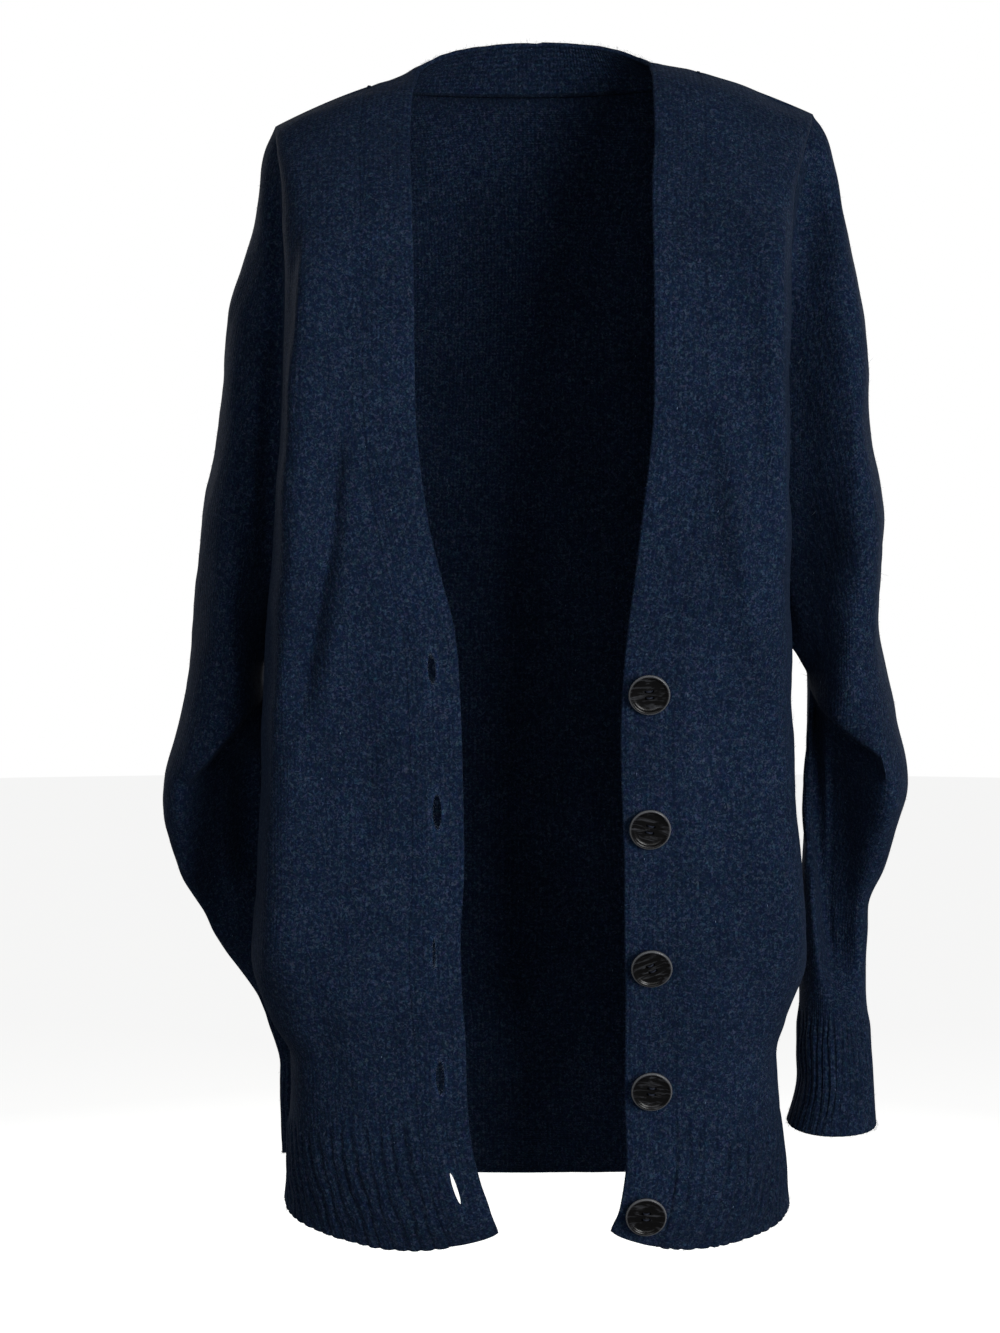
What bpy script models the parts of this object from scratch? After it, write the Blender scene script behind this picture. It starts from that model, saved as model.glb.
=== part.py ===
"""A long, felted-wool V-neck cardigan, worn open: the wearer's hollow form, in metres, +Z up.

The origin is between the shoulders at the neck base. +X is the wearer's left and -Y the front.
Sizes and tables are in millimetres. Each wall is an outer surface worked out from the tables,
with its inner face one wall thickness behind it.
"""

import math
from collections import namedtuple

import bmesh
import bpy
import numpy as np
from mathutils import Matrix, Vector

MM = 0.001
RIGHT, LEFT = -1, 1  # the wearer's sides

PANEL_WALL = 2.8
RIB_WALL = 2.8
RIB_RISE = 1.3
CUFF_RISE = 1.0
BAND_WALL = 3.6
BAND_PROUD = 0.5
BAND_WIDTH = 31.0
SEAM = 0.17  # each piece stops about this far from a seam, so two stand 0.3 apart
SEAM_ROW = 0.006  # the same, in rows of the body table
SEAM_RING = 0.02  # the same, in rings of a sleeve table
SHOULDER_SEAM = 0.45  # the same at the shoulder and neck, where two walls lean together
ARMHOLE_STEP = 0.8  # a sleeve starts this far outside its armhole

HEM_RIB_PITCH = 9.0
CUFF_RIBS = 36
NECK_BACK_RISE = 24.0  # height of the band's free edge at the centre back
NECK_BACK_DEPTH = 60.0
NECK_SHARE = 0.66  # share of half the back's top edge that is neck, the rest being shoulder

BUTTON_DIAMETER = 26.0
BUTTON_DROOP = math.radians(12)  # a button hangs forward on its thread by this angle
BUTTON_STEPS = 20
BUTTON_HOLE = 1.9
BUTTON_HOLE_SPACING = 4.2
BUTTON_CLEAR = 0.6  # gap between the knit and a hanging button's lowest rim
CUT_DEPTH = 16.0  # length of a cutter that goes right through a wall

SLEEVE_SIDES = 24

# The body, one row from the hem up to the shoulder seam. "edge" is the free front edge, "side"
# the side seam or, above the underarm, the armhole edge of the front and of the back.
BodyRow = namedtuple(
    "BodyRow",
    "edge_z edge_y right_edge_x left_edge_x side_z front_side_y back_side_y "
    "right_side_x left_side_x back_z back_y left_lift sag",
)
BODY_ROWS = [
    BodyRow(-741, -108, -26, 47, -751, 0, 0, -167.0, 168.0, -751, 92, 0, 9),  # hem
    BodyRow(-724, -115, -36, 53, -734, 0, 0, -165.5, 166.0, -734, 91, 0, 6),
    BodyRow(-691, -114, -44, 57, -712, 0, 0, -163.5, 163.0, -712, 90, 0, 2),
    BodyRow(-656, -111, -45.5, 56, -672, 0, 0, -160.0, 158.5, -672, 90, 0, 0),  # rib's top
    BodyRow(-618, -112, -46.5, 56, -640, 0, 0, -159.0, 156.5, -640, 92, 0, 0),
    BodyRow(-592, -116, -48.5, 56, -613, 0, 0, -173.0, 163.0, -613, 99, 0, 0),
    BodyRow(-553, -121, -49.5, 55, -572, 0, 0, -185.5, 176.5, -570, 107, 0, 0),  # widest
    BodyRow(-503, -123, -47, 54.5, -519, 0, 0, -181.5, 172.0, -515, 107, 0, 0),
    BodyRow(-427, -124, -48.5, 52, -439, 0, 0, -177.5, 165.0, -435, 101, 0, 0),
    BodyRow(-365, -126, -52, 55.5, -373, 0, 0, -175.0, 164.0, -369, 104, 0, 0),  # underarm
    BodyRow(-330, -128, -60, 60, -338, -26, 30, -171.5, 162.5, -334, 107, 0, 0),
    BodyRow(-291, -129, -69, 64.5, -294, -42, 44, -168.0, 161.0, -290, 110, 0, 0),
    BodyRow(-217, -126, -77, 72, -215, -50, 52, -163.0, 159.0, -208, 112, 0, 0),
    BodyRow(-149, -112, -78, 72.5, -144, -48, 50, -160.5, 160.0, -134, 108, 1, 0),
    BodyRow(-92, -85, -80, 72.5, -90, -34, 38, -162.5, 164.5, -78, 99, 2, 0),
    BodyRow(-45, -50, -82, 75.5, -58, -16, 22, -167.0, 173.0, -40, 90, 4, 0),
    BodyRow(-16, -22, -81, 75.5, -43, -4, 13, -169.5, 178.5, -19, 83, 6, 0),
    BodyRow(-4, 5, -79, 75, -37, 5, 5, -170.5, 180.5, -8, 75, 8, 0),  # shoulder seam
]
TOP = len(BODY_ROWS) - 1
RIB_TOP = 3
UNDERARM = 9
YOKE_START = 13  # above this row the back turns from a rounded section to the neck's curve
FRONT_FULLNESS = 2.3
BACK_FULLNESS = 2.5
SHOULDER_DROP = 1.4

# A sleeve, one ring from the armhole to the end of its cuff. "outer" follows the outline away
# from the body and "inner" the underarm line. "reach" is half the ring's size from front to
# back, and "turn" in degrees swings that direction outwards.
SleeveRing = namedtuple(
    "SleeveRing", "outer_x outer_y outer_z inner_x inner_y inner_z reach turn"
)
RIGHT_SLEEVE = [
    SleeveRing(-170.5, 5, -37, -175.0, 0, -373, 50, 0),
    SleeveRing(-185.0, 12, -64, -177.0, 4, -376, 56, 0),
    SleeveRing(-187.5, 20, -103, -178.5, 9, -380, 61, 0),
    SleeveRing(-199.5, 28, -152, -180.0, 14, -385, 66, 0),
    SleeveRing(-208.5, 36, -214, -182.0, 20, -392, 72, 0),
    SleeveRing(-220.0, 44, -285, -182.5, 26, -401, 77, 0),
    SleeveRing(-228.0, 48, -350, -180.5, 32, -412, 79, 0),
    SleeveRing(-237.0, 49, -417, -178.5, 42, -428, 78, 4),
    SleeveRing(-248.0, 52, -486, -177.0, 54, -452, 72, 10),
    SleeveRing(-240.0, 62, -530, -176.0, 66, -486, 63, 18),
    SleeveRing(-211.0, 84, -572, -160.0, 80, -526, 55, 32),
    SleeveRing(-182.0, 112, -612, -144.0, 90, -572, 48, 46),
    SleeveRing(-160.0, 134, -650, -132.0, 97, -614, 44, 56),
    SleeveRing(-152.0, 144, -694, -125.0, 100, -660, 42, 60),
    SleeveRing(-152.0, 147, -745, -122.0, 101, -732, 42, 60),
]
LEFT_SLEEVE = [
    SleeveRing(180.5, 5, -33, 164.0, 0, -373, 50, 0),
    SleeveRing(191.5, 7, -60, 166.0, 1, -376, 57, 0),
    SleeveRing(199.5, 9, -90, 169.5, 3, -379, 62, 0),
    SleeveRing(212.0, 12, -150, 175.0, 6, -386, 70, 0),
    SleeveRing(217.5, 14, -213, 180.0, 9, -394, 77, 0),
    SleeveRing(227.5, 16, -283, 182.0, 12, -403, 81, 0),
    SleeveRing(228.0, 19, -352, 182.5, 16, -416, 82, 0),
    SleeveRing(237.0, 24, -421, 182.0, 22, -437, 80, 0),
    SleeveRing(249.0, 32, -472, 181.5, 30, -463, 73, 0),
    SleeveRing(236.5, 36, -516, 181.0, 36, -503, 62, 0),
    SleeveRing(225.0, 40, -556, 180.0, 40, -550, 53, 0),
    SleeveRing(224.5, 40, -600, 179.0, 40, -600, 46, 0),
    SleeveRing(225.0, 33, -634, 180.0, 33, -634, 42, 0),
    SleeveRing(226.0, 24, -662, 179.5, 24, -664, 41, 0),
    SleeveRing(228.0, 14, -697, 169.5, 14, -697, 43, 0),
]
CUFF_TOP = 11.4
CUFF_END = len(LEFT_SLEEVE) - 1
ARMHOLE_BLEND = 3.4  # rings over which the armhole's outline turns into the sleeve's own
SLEEVE_FULLNESS = 2.15

# Soft folds seen from the front: a straight trough (rise below 0) or ridge between two points.
Fold = namedtuple("Fold", "x0 z0 x1 z1 rise half_width")
FRONT_FOLDS = [
    Fold(-122, -250, -138, -400, -4.0, 13),
    Fold(-136, -395, -158, -470, -4.5, 12),
    Fold(-104, -410, -108, -500, -2.5, 11),
    Fold(-140, -590, -126, -660, -3.0, 10),
    Fold(-92, -592, -86, -655, -2.0, 9),
    Fold(132, -250, 148, -380, 3.5, 12),
    Fold(108, -400, 118, -520, -2.5, 12),
    Fold(140, -590, 128, -660, -3.0, 10),
    Fold(100, -592, 98, -655, -2.0, 9),
]
BACK_FOLDS = [
    Fold(-118, -260, -104, -470, -4.5, 16),
    Fold(-46, -300, -38, -560, -3.5, 18),
    Fold(24, -180, 30, -430, -3.0, 18),
    Fold(88, -330, 80, -590, -4.5, 16),
    Fold(132, -240, 140, -420, -4.0, 13),
    Fold(-92, -560, -96, -655, -3.0, 12),
    Fold(6, -590, 4, -660, -2.5, 12),
    Fold(112, -600, 116, -660, -2.5, 10),
]
# The slack sleeve sags over its own forearm at the elbow: the front view's fold line, and how
# far the cloth below it steps back. The crease is the upright pleat down the forearm.
Elbow = namedtuple("Elbow", "x0 z0 x1 z1 step_back fade crease_x crease_z0 crease_z1 crease_in")
ELBOWS = {
    RIGHT: Elbow(-181, -402, -232, -478, 20, 80, -205, -470, -560, 7),
    LEFT: Elbow(172, -392, 228, -462, 20, 80, 190, -404, -600, 15),
}
CREASE_HALF_WIDTH = 7.0
ELBOW_EDGE = 40.0  # the height over which the fold's edge turns under
ELBOW_TAPER = 14.0  # how far in from the outline the fold fades out
ELBOW_SWELL = 6.0  # how far the slack cloth above the fold stands forward

# Five vertical buttonholes in the wearer's right band and five buttons on the left one.
Buttonhole = namedtuple("Buttonhole", "height length width")
BUTTONHOLES = [
    Buttonhole(-383, 19, 2.6),
    Buttonhole(-472, 22, 3.6),
    Buttonhole(-561, 19, 1.0),
    Buttonhole(-642, 21, 3.6),
    Buttonhole(-712, 21, 1.6),
]
BUTTON_HEIGHTS = [-398, -482, -569, -649, -728]
# The button's half profile, down its face, round the rim and back to the centre: radius, height.
BUTTON_PROFILE = [
    (0.0, 2.3),
    (8.6, 2.6),
    (10.7, 3.6),
    (11.9, 3.9),
    (12.8, 3.3),
    (13.0, 2.3),
    (12.4, 0.9),
    (10.0, 0.1),
    (0.0, 0.0),
]


# ---------------------------------------------------------------- curves through tables


def slopes(values):
    """Slope at each knot that never overshoots: nought at a peak, else a harmonic mean."""
    step = np.diff(values, axis=0)
    before, after = step[:-1], step[1:]
    same_way = before * after > 0
    total = np.where(same_way, before + after, 1.0)
    inside = np.where(same_way, 2 * before * after / total, 0.0)
    return np.concatenate([step[:1], inside, step[-1:]])


def read_table(table, at):
    """The table's columns at each fractional row number, on smooth curves through its rows."""
    values = np.array(table, float)
    slope = slopes(values)
    at = np.clip(np.asarray(at, float), 0, len(values) - 1)
    low = np.minimum(at.astype(int), len(values) - 2)
    t = (at - low)[..., None]
    start, end = values[low], values[low + 1]
    columns = (
        start * (1 + 2 * t) * (1 - t) ** 2
        + end * t**2 * (3 - 2 * t)
        + slope[low] * t * (1 - t) ** 2
        - slope[low + 1] * t**2 * (1 - t)
    )
    return dict(zip(table[0]._fields, np.moveaxis(columns, -1, 0)))


def smooth_step(t):
    t = np.clip(t, 0, 1)
    return t * t * (3 - 2 * t)


def points(x, y, z):
    return np.stack(np.broadcast_arrays(x, y, z), axis=-1).astype(float)


def unit(vectors):
    length = np.linalg.norm(vectors, axis=-1, keepdims=True)
    return vectors / np.maximum(length, 1e-9)


def along_rows(curves, distance):
    """Points at each distance along each row's polyline."""
    step = np.linalg.norm(np.diff(curves, axis=1), axis=-1)
    run = np.concatenate([np.zeros((len(curves), 1)), np.cumsum(step, axis=1)], axis=1)
    found = np.empty(distance.shape + (3,))
    for i in range(len(curves)):
        for axis in range(3):
            found[i, :, axis] = np.interp(distance[i], run[i], curves[i, :, axis])
    return found, run[:, -1]


QUARTER = np.sin(np.linspace(0, math.pi / 2, 97)) ** 1.5 * math.pi / 2


def quarter_curve(fullness):
    """(sine, cosine) of a quarter superellipse, from the middle to the side."""
    power = 2 / fullness
    return np.sin(QUARTER) ** power, np.clip(np.cos(QUARTER), 0, 1) ** power


# ---------------------------------------------------------------- the body's surface


def front_rows(side, at):
    """Each row's curve from the free front edge round to the side seam or armhole."""
    r = {name: value[:, None] for name, value in read_table(BODY_ROWS, at).items()}
    edge_x = r["left_edge_x"] if side == LEFT else r["right_edge_x"]
    side_x = r["left_side_x"] if side == LEFT else r["right_side_x"]
    lift = r["left_lift"] if side == LEFT else 0 * r["left_lift"]
    across, towards = quarter_curve(FRONT_FULLNESS)
    drop = across**SHOULDER_DROP
    x = edge_x + (side_x - edge_x) * across
    y = r["front_side_y"] + (r["edge_y"] - r["front_side_y"]) * towards
    z = r["edge_z"] + (r["side_z"] - r["edge_z"]) * drop + lift * (1 - 0.6 * drop)
    z = z - r["sag"] * np.sin(math.pi * np.sqrt(across))
    return points(x, y, z)


def fold_relief(folds, x, z):
    """The sum of the folds' rises: each fades out across its width and at both its ends."""
    total = np.zeros(np.shape(x))
    for fold in folds:
        run = np.array([fold.x1 - fold.x0, fold.z1 - fold.z0], float)
        length = np.hypot(*run)
        run /= length
        along = (x - fold.x0) * run[0] + (z - fold.z0) * run[1]
        beside = (x - fold.x0) * run[1] - (z - fold.z0) * run[0]
        past = np.maximum(np.maximum(-along, along - length), 0)
        total += fold.rise * np.exp(-((beside / fold.half_width) ** 2) - (past / 28) ** 2)
    return total


def front_surface(side, at, run):
    """The front at each row and distance from its free edge. A run over 1000 counts back from
    the side seam: 1000 + n is n short of it."""
    at, run = np.broadcast_arrays(np.asarray(at, float), np.asarray(run, float))
    curves = front_rows(side, at[:, 0])
    length = along_rows(curves, np.zeros((len(curves), 1)))[1][:, None]
    share = np.where(run >= 1000, 1 - (run - 1000) / length, run / length)
    found = along_rows(curves, share * length)[0]
    relief = fold_relief(FRONT_FOLDS, found[..., 0], found[..., 2])
    from_seam = (share * length - BAND_WIDTH) / 25
    from_side = (1 - share) * length / 25
    found[..., 1] -= relief * smooth_step(from_seam) * smooth_step(from_side)
    return found


def front_grid(side, at, shares):
    """(row, run) arrays for a grid whose columns are shares of the way from band to side seam."""
    at = np.asarray(at, float)
    curves = front_rows(side, at)
    length = along_rows(curves, np.zeros((len(curves), 1)))[1][:, None]
    start, end = BAND_WIDTH + SEAM, length - SEAM
    return at[:, None] + 0 * length, start + (end - start) * np.asarray(shares)[None, :]


def back_rows(at):
    """Each row's curve from the right side or armhole round the back to the left one."""
    at = np.asarray(at, float)
    r = {name: value[:, None] for name, value in read_table(BODY_ROWS, at).items()}
    across, towards = quarter_curve(BACK_FULLNESS)
    across = np.concatenate([-across[::-1], across[1:]])
    towards = np.concatenate([towards[::-1], towards[1:]])
    middle = (r["right_side_x"] + r["left_side_x"]) / 2
    half = (r["left_side_x"] - r["right_side_x"]) / 2
    drop = np.abs(across) ** SHOULDER_DROP
    x = middle + half * across
    y = r["back_side_y"] + (r["back_y"] - r["back_side_y"]) * towards
    z = r["back_z"] + (r["side_z"] - r["back_z"]) * drop
    z = z + r["left_lift"] * 0.4 * np.clip(across, 0, 1)
    return points(x, y, z)


def shoulder_line(side, share):
    """The shoulder seam: share 0 is where the band's seam crosses it, 1 the sleeve's end."""
    curve = front_rows(side, [TOP])
    length = along_rows(curve, np.zeros((1, 1)))[1][0]
    run = BAND_WIDTH + (length - BAND_WIDTH) * np.asarray(share, float)
    return along_rows(curve, run[None, :])[0][0]


def neck_seam(side, share):
    """The back neck seam: share 0 is the centre back and 1 the shoulder."""
    corner = shoulder_line(side, [0.0])[0]
    top = BODY_ROWS[TOP]
    turn = np.asarray(share, float) * math.pi / 2
    x = corner[0] * np.sin(turn)
    y = corner[1] + (top.back_y - corner[1]) * np.cos(turn)
    z = corner[2] + (top.back_z - corner[2]) * np.cos(turn)
    return points(x, y, z)


def yoke_line(across):
    """The back's top edge: right shoulder seam, neck curve, left shoulder seam."""
    found = np.empty(across.shape + (3,))
    for side in (RIGHT, LEFT):
        here = across * side >= 0
        amount = np.abs(across[here])
        neck = neck_seam(side, np.clip(amount / NECK_SHARE, 0, 1))
        shoulder = shoulder_line(side, np.clip((amount - NECK_SHARE) / (1 - NECK_SHARE), 0, 1))
        found[here] = np.where((amount <= NECK_SHARE)[:, None], neck, shoulder)
    return found


def back_surface(at, across):
    """The back at each row and each place across, from -1 at the right seam to 1 at the left."""
    at, across = np.broadcast_arrays(np.asarray(at, float), np.asarray(across, float))
    curves = back_rows(at[:, 0])
    length = along_rows(curves, np.zeros((len(curves), 1)))[1][:, None]
    section = along_rows(curves, (across + 1) / 2 * length)[0]
    share = smooth_step((at - YOKE_START) / (TOP - YOKE_START))[..., None]
    found = section * (1 - share) + yoke_line(across) * share
    outside = smooth_step((np.abs(across) - NECK_SHARE) / (1 - NECK_SHARE))[..., None]
    for side, ends in ((RIGHT, curves[:, :1]), (LEFT, curves[:, -1:])):
        here = outside * (across * side > 0)[..., None]
        found += share * here * (ends - shoulder_line(side, [1.0])[0])
    relief = fold_relief(BACK_FOLDS, found[..., 0], found[..., 2])
    found[..., 1] += relief * smooth_step((1 - np.abs(across)) / 0.12)
    return found


# ---------------------------------------------------------------- the sleeves' surface


def armhole(side, turn):
    """The armhole's loop: turn 0 is the shoulder, half a circle the underarm, by the front."""
    rows_down = (TOP - UNDERARM) * (1 - np.cos(turn)) / 2
    r = read_table(BODY_ROWS, TOP - rows_down)
    x = r["left_side_x"] if side == LEFT else r["right_side_x"]
    by_front = np.sin(turn) >= 0
    y = np.where(by_front, r["front_side_y"], r["back_side_y"])
    z = r["side_z"] + (0.4 * r["left_lift"] if side == LEFT else 0)
    return points(x + side * ARMHOLE_STEP, y, z)


def elbow_relief(side, found, facing):
    """The step back below the elbow's fold and the forearm's pleat, on the front half only."""
    fold = ELBOWS[side]
    x, z = found[..., 0], found[..., 2]
    share = np.clip((x - fold.x0) / (fold.x1 - fold.x0), 0, 1)
    line = fold.z0 + (fold.z1 - fold.z0) * share**1.3
    below = line - z
    near_end = 1 - smooth_step((np.abs(x) - abs(fold.x1)) / ELBOW_TAPER + 1)
    fading = np.exp(-((np.maximum(below - ELBOW_EDGE / 4, 0) / fold.fade) ** 2))
    step = smooth_step(below / ELBOW_EDGE + 0.5) * fading
    swell = ELBOW_SWELL * np.exp(-((2 * below / ELBOW_EDGE + 1) ** 2))
    upright = smooth_step((fold.crease_z0 - z) / 30) * smooth_step((z - fold.crease_z1) / 40)
    crease = np.exp(-(((x - fold.crease_x) / CREASE_HALF_WIDTH) ** 2)) * upright
    back = (fold.step_back * step - swell) * near_end + fold.crease_in * crease
    return back * smooth_step(facing * 1.6)


def sleeve_surface(side, ring, turn):
    """The sleeve at each ring number and turn round it: a superellipse that spans the outer and
    inner lines one way and the reach the other, and meets the armhole's loop at ring 0."""
    ring, turn = np.broadcast_arrays(np.asarray(ring, float), np.asarray(turn, float))
    r = read_table(LEFT_SLEEVE if side == LEFT else RIGHT_SLEEVE, ring)
    outer = points(r["outer_x"], r["outer_y"], r["outer_z"])
    inner = points(r["inner_x"], r["inner_y"], r["inner_z"])
    swing = np.radians(r["turn"])
    front = r["reach"][..., None] * points(side * np.sin(swing), -np.cos(swing), 0 * swing)
    sine, cosine = np.sin(turn), np.cos(turn)
    power = 2 / SLEEVE_FULLNESS
    sine_full = (np.sign(sine) * np.abs(sine) ** power)[..., None]
    cosine_full = (np.sign(cosine) * np.abs(cosine) ** power)[..., None]
    middle, half = (outer + inner) / 2, (outer - inner) / 2
    found = middle + cosine_full * half + sine_full * front
    share = (1 - smooth_step(ring / ARMHOLE_BLEND))[..., None]
    own_start = sleeve_section(side, turn)
    found = found + share * (armhole(side, turn) - own_start)
    found[..., 1] += elbow_relief(side, found, sine)
    return found


def sleeve_section(side, turn):
    """The first ring's own superellipse, before it is bent to the armhole."""
    r = (LEFT_SLEEVE if side == LEFT else RIGHT_SLEEVE)[0]
    sine, cosine = np.sin(turn), np.cos(turn)
    power = 2 / SLEEVE_FULLNESS
    sine_full = np.sign(sine) * np.abs(sine) ** power
    cosine_full = np.sign(cosine) * np.abs(cosine) ** power
    x = (r.outer_x + r.inner_x) / 2 + cosine_full * (r.outer_x - r.inner_x) / 2
    y = (r.outer_y + r.inner_y) / 2 + cosine_full * (r.outer_y - r.inner_y) / 2
    z = (r.outer_z + r.inner_z) / 2 + cosine_full * (r.outer_z - r.inner_z) / 2
    return points(x, y - sine_full * r.reach, z)


# ---------------------------------------------------------------- the front band's surface


def band_surface(side, path, width):
    """The band: path 0 to TOP climbs the front, TOP to TOP + 1 goes on round the back neck to
    the centre. width is the distance from the free edge."""
    path, width = np.broadcast_arrays(np.asarray(path, float), np.asarray(width, float))
    found = np.empty(path.shape + (3,))
    on_front = path[:, 0] <= TOP
    if on_front.any():
        found[on_front] = front_surface(side, path[on_front], width[on_front])
    if not on_front.all():
        turn = (path[~on_front] - TOP) * math.pi / 2
        start = front_rows(side, [TOP])[0, 0]
        free_x = start[0] * np.cos(turn) ** 0.85
        free_y = start[1] + (NECK_BACK_DEPTH - start[1]) * np.sin(turn) ** 0.9
        free_z = start[2] + (NECK_BACK_RISE - start[2]) * np.sin(turn)
        free = points(free_x, free_y, free_z)
        seam = neck_seam(side, TOP + 1 - path[~on_front])
        share = (width[~on_front] / BAND_WIDTH)[..., None]
        found[~on_front] = free + (seam - free) * share
        bow = 2.0 * np.sin(turn) * np.sin(share[..., 0] * math.pi)
        found[~on_front, :, 1] += bow
    return found


# ---------------------------------------------------------------- normals, walls and meshes


def normals(surface, a, b, a_step, b_step, a_last, turned):
    """The surface's unit normals by small differences. turned is -1 where the two parameters
    run the other way round and the result has to be turned to face outwards."""
    a, b = np.broadcast_arrays(a, b)
    by_a = surface(np.minimum(a + a_step, a_last), b) - surface(np.maximum(a - a_step, 0), b)
    by_b = surface(a, b + b_step) - surface(a, b - b_step)
    return turned * unit(np.cross(by_a, by_b))


def mitre(own, other):
    """The wall direction in which a wall meets another at a seam, or its own where they are
    back to back, as under the arm."""
    facing = 1 + (own * other).sum(axis=-1, keepdims=True)
    share = np.clip(facing / 0.6, 0, 1)
    return share * (own + other) / np.maximum(facing, 0.55) + (1 - share) * own


def zip_edges(near, far):
    """Triangles between two rows of vertices that run side by side and share no count."""
    faces = []
    i = j = 0
    while i < len(near) - 1 or j < len(far) - 1:
        near_next = (i + 1) / (len(near) - 1) if i < len(near) - 1 else 2
        far_next = (j + 1) / (len(far) - 1) if j < len(far) - 1 else 2
        if near_next <= far_next + 1e-9:
            faces.append((near[i], near[i + 1], far[j]))
            i += 1
        else:
            faces.append((near[i], far[j + 1], far[j]))
            j += 1
    return faces


def wall_mesh(name, outer, inner, round_it):
    """One closed wall between an outer and an inner grid, which may have fewer points. A wall
    that goes all round is closed on itself, and any other gets its two ends."""
    bm = bmesh.new()
    grids = []
    for grid in (outer, inner):
        made = [[bm.verts.new(Vector(point) * MM) for point in row] for row in grid]
        grids.append([row + row[:1] if round_it else row for row in made])
    for grid, flipped in zip(grids, (False, True)):
        for low, high in zip(grid[:-1], grid[1:]):
            for i in range(len(low) - 1):
                corners = (low[i], low[i + 1], high[i + 1], high[i])
                bm.faces.new(corners[::-1] if flipped else corners)
    out, back = grids
    borders = [(out[0], back[0], True), (out[-1], back[-1], False)]
    if not round_it:
        borders.append(([row[0] for row in out], [row[0] for row in back], False))
        borders.append(([row[-1] for row in out], [row[-1] for row in back], True))
    for near, far, flipped in borders:
        for corners in zip_edges(near, far):
            bm.faces.new(corners[::-1] if flipped else corners)
    if bm.calc_volume(signed=True) < 0:
        bmesh.ops.reverse_faces(bm, faces=bm.faces)
    mesh = bpy.data.meshes.new(name)
    bm.to_mesh(mesh)
    bm.free()
    return mesh


def add_object(mesh, material, collection):
    part = bpy.data.objects.new(mesh.name, mesh)
    mesh.materials.append(material)
    mesh.shade_smooth()
    collection.objects.link(part)
    return part


def make_material(name, colour, roughness, metallic=0.0):
    material = bpy.data.materials.new(name)
    material.use_nodes = True
    shader = material.node_tree.nodes["Principled BSDF"]
    shader.inputs["Base Color"].default_value = (*colour, 1)
    shader.inputs["Roughness"].default_value = roughness
    shader.inputs["Metallic"].default_value = metallic
    return material


# ---------------------------------------------------------------- the pieces

TURNS = np.arange(SLEEVE_SIDES) / SLEEVE_SIDES * 2 * math.pi
ARMHOLE_ROWS = (TOP - (TOP - UNDERARM) * (1 - np.cos(TURNS[: SLEEVE_SIDES // 2 + 1])) / 2)[::-1]
RIB_ROWS = np.array([0.0, 1.0, 2.3, RIB_TOP - SEAM_ROW])
PANEL_ROWS = np.concatenate([np.linspace(RIB_TOP + SEAM_ROW, UNDERARM, 10)[:-1], ARMHOLE_ROWS])
RIB_FADE = np.array([1, 1, 0.8, 0])
SLEEVE_RINGS = np.concatenate(
    [[0, 0.5, 1.2, 2, 3, 4], np.linspace(4.8, 9.6, 17), [10.4, CUFF_TOP - SEAM_RING]]
)
NECK_SHARES = np.linspace(0, 1, 8)
SHOULDER_SHARES = np.arange(1, 4) / 3
BACK_HALF = np.append(NECK_SHARES * NECK_SHARE, NECK_SHARE + (1 - NECK_SHARE) * SHOULDER_SHARES)
BACK_LIMIT = 1 - SEAM / 200


def turn_at(row):
    """How far round a sleeve's first ring a row of the body's armhole lies, by the front."""
    return np.arccos(np.clip(1 - 2 * (TOP - row) / (TOP - UNDERARM), -1, 1))


def sleeve_normals(side, ring, turn):
    def surface(a, b):
        return sleeve_surface(side, a, b)

    return normals(surface, ring, turn, 0.02, 0.01, CUFF_END, -side)


def front_normals(side, at, run):
    def surface(a, b):
        return front_surface(side, a, b)

    return normals(surface, at, run, 0.02, 0.4, TOP, -side)


def back_normals(at, across):
    def surface(a, b):
        return back_surface(a, np.clip(b, -1, 1))

    return normals(surface, at, across, 0.02, 0.002, TOP, 1)


def band_normals(side, path, width):
    def surface(a, b):
        return band_surface(side, a, np.maximum(b, 0))

    return normals(surface, path, width, 0.01, 0.4, TOP + 1, -side)


def armhole_mitre(side, rows, panel_normals, by_front):
    """The wall directions along a panel's armhole edge, shared with the sleeve sewn to it."""
    turn = turn_at(rows)
    turn = turn if by_front else 2 * math.pi - turn
    sleeve = sleeve_normals(side, np.zeros((1, len(turn))), turn[None, :])[0]
    return mitre(panel_normals, sleeve)


def shoulder_mitre(side, share):
    """The wall directions along the shoulder seam, from the band (0) to the sleeve (1)."""
    share = np.asarray(share, float)[None, :]
    run = front_grid(side, [TOP], share[0])[1]
    across = side * (NECK_SHARE + (1 - NECK_SHARE) * share) * BACK_LIMIT
    front = front_normals(side, np.full_like(run, TOP), run)[0]
    return mitre(front, back_normals(np.full_like(across, TOP), across)[0])


def neck_mitre(side, share):
    """The wall directions along the back neck seam, from the centre (0) to the shoulder (1)."""
    share = np.asarray(share, float)
    across = side * np.minimum(share, 0.999) * NECK_SHARE
    back = back_normals(np.full((1, len(share)), float(TOP)), across[None, :])[0]
    path = TOP + 1 - np.minimum(share, 0.995)
    band = band_normals(side, path[:, None], np.full((len(share), 1), BAND_WIDTH))[:, 0]
    return mitre(back, band)


def rib_profile(count):
    """Column shares and rises for a run of ribs: a broad flat ridge and a narrow groove."""
    places = [(i + part) / count for i in range(count) for part in (0.0, 0.3, 0.7)]
    rises = [rise for _ in range(count) for rise in (0.0, 1.0, 1.0)]
    return np.array(places + [1.0]), np.array(rises + [0.0])


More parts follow.
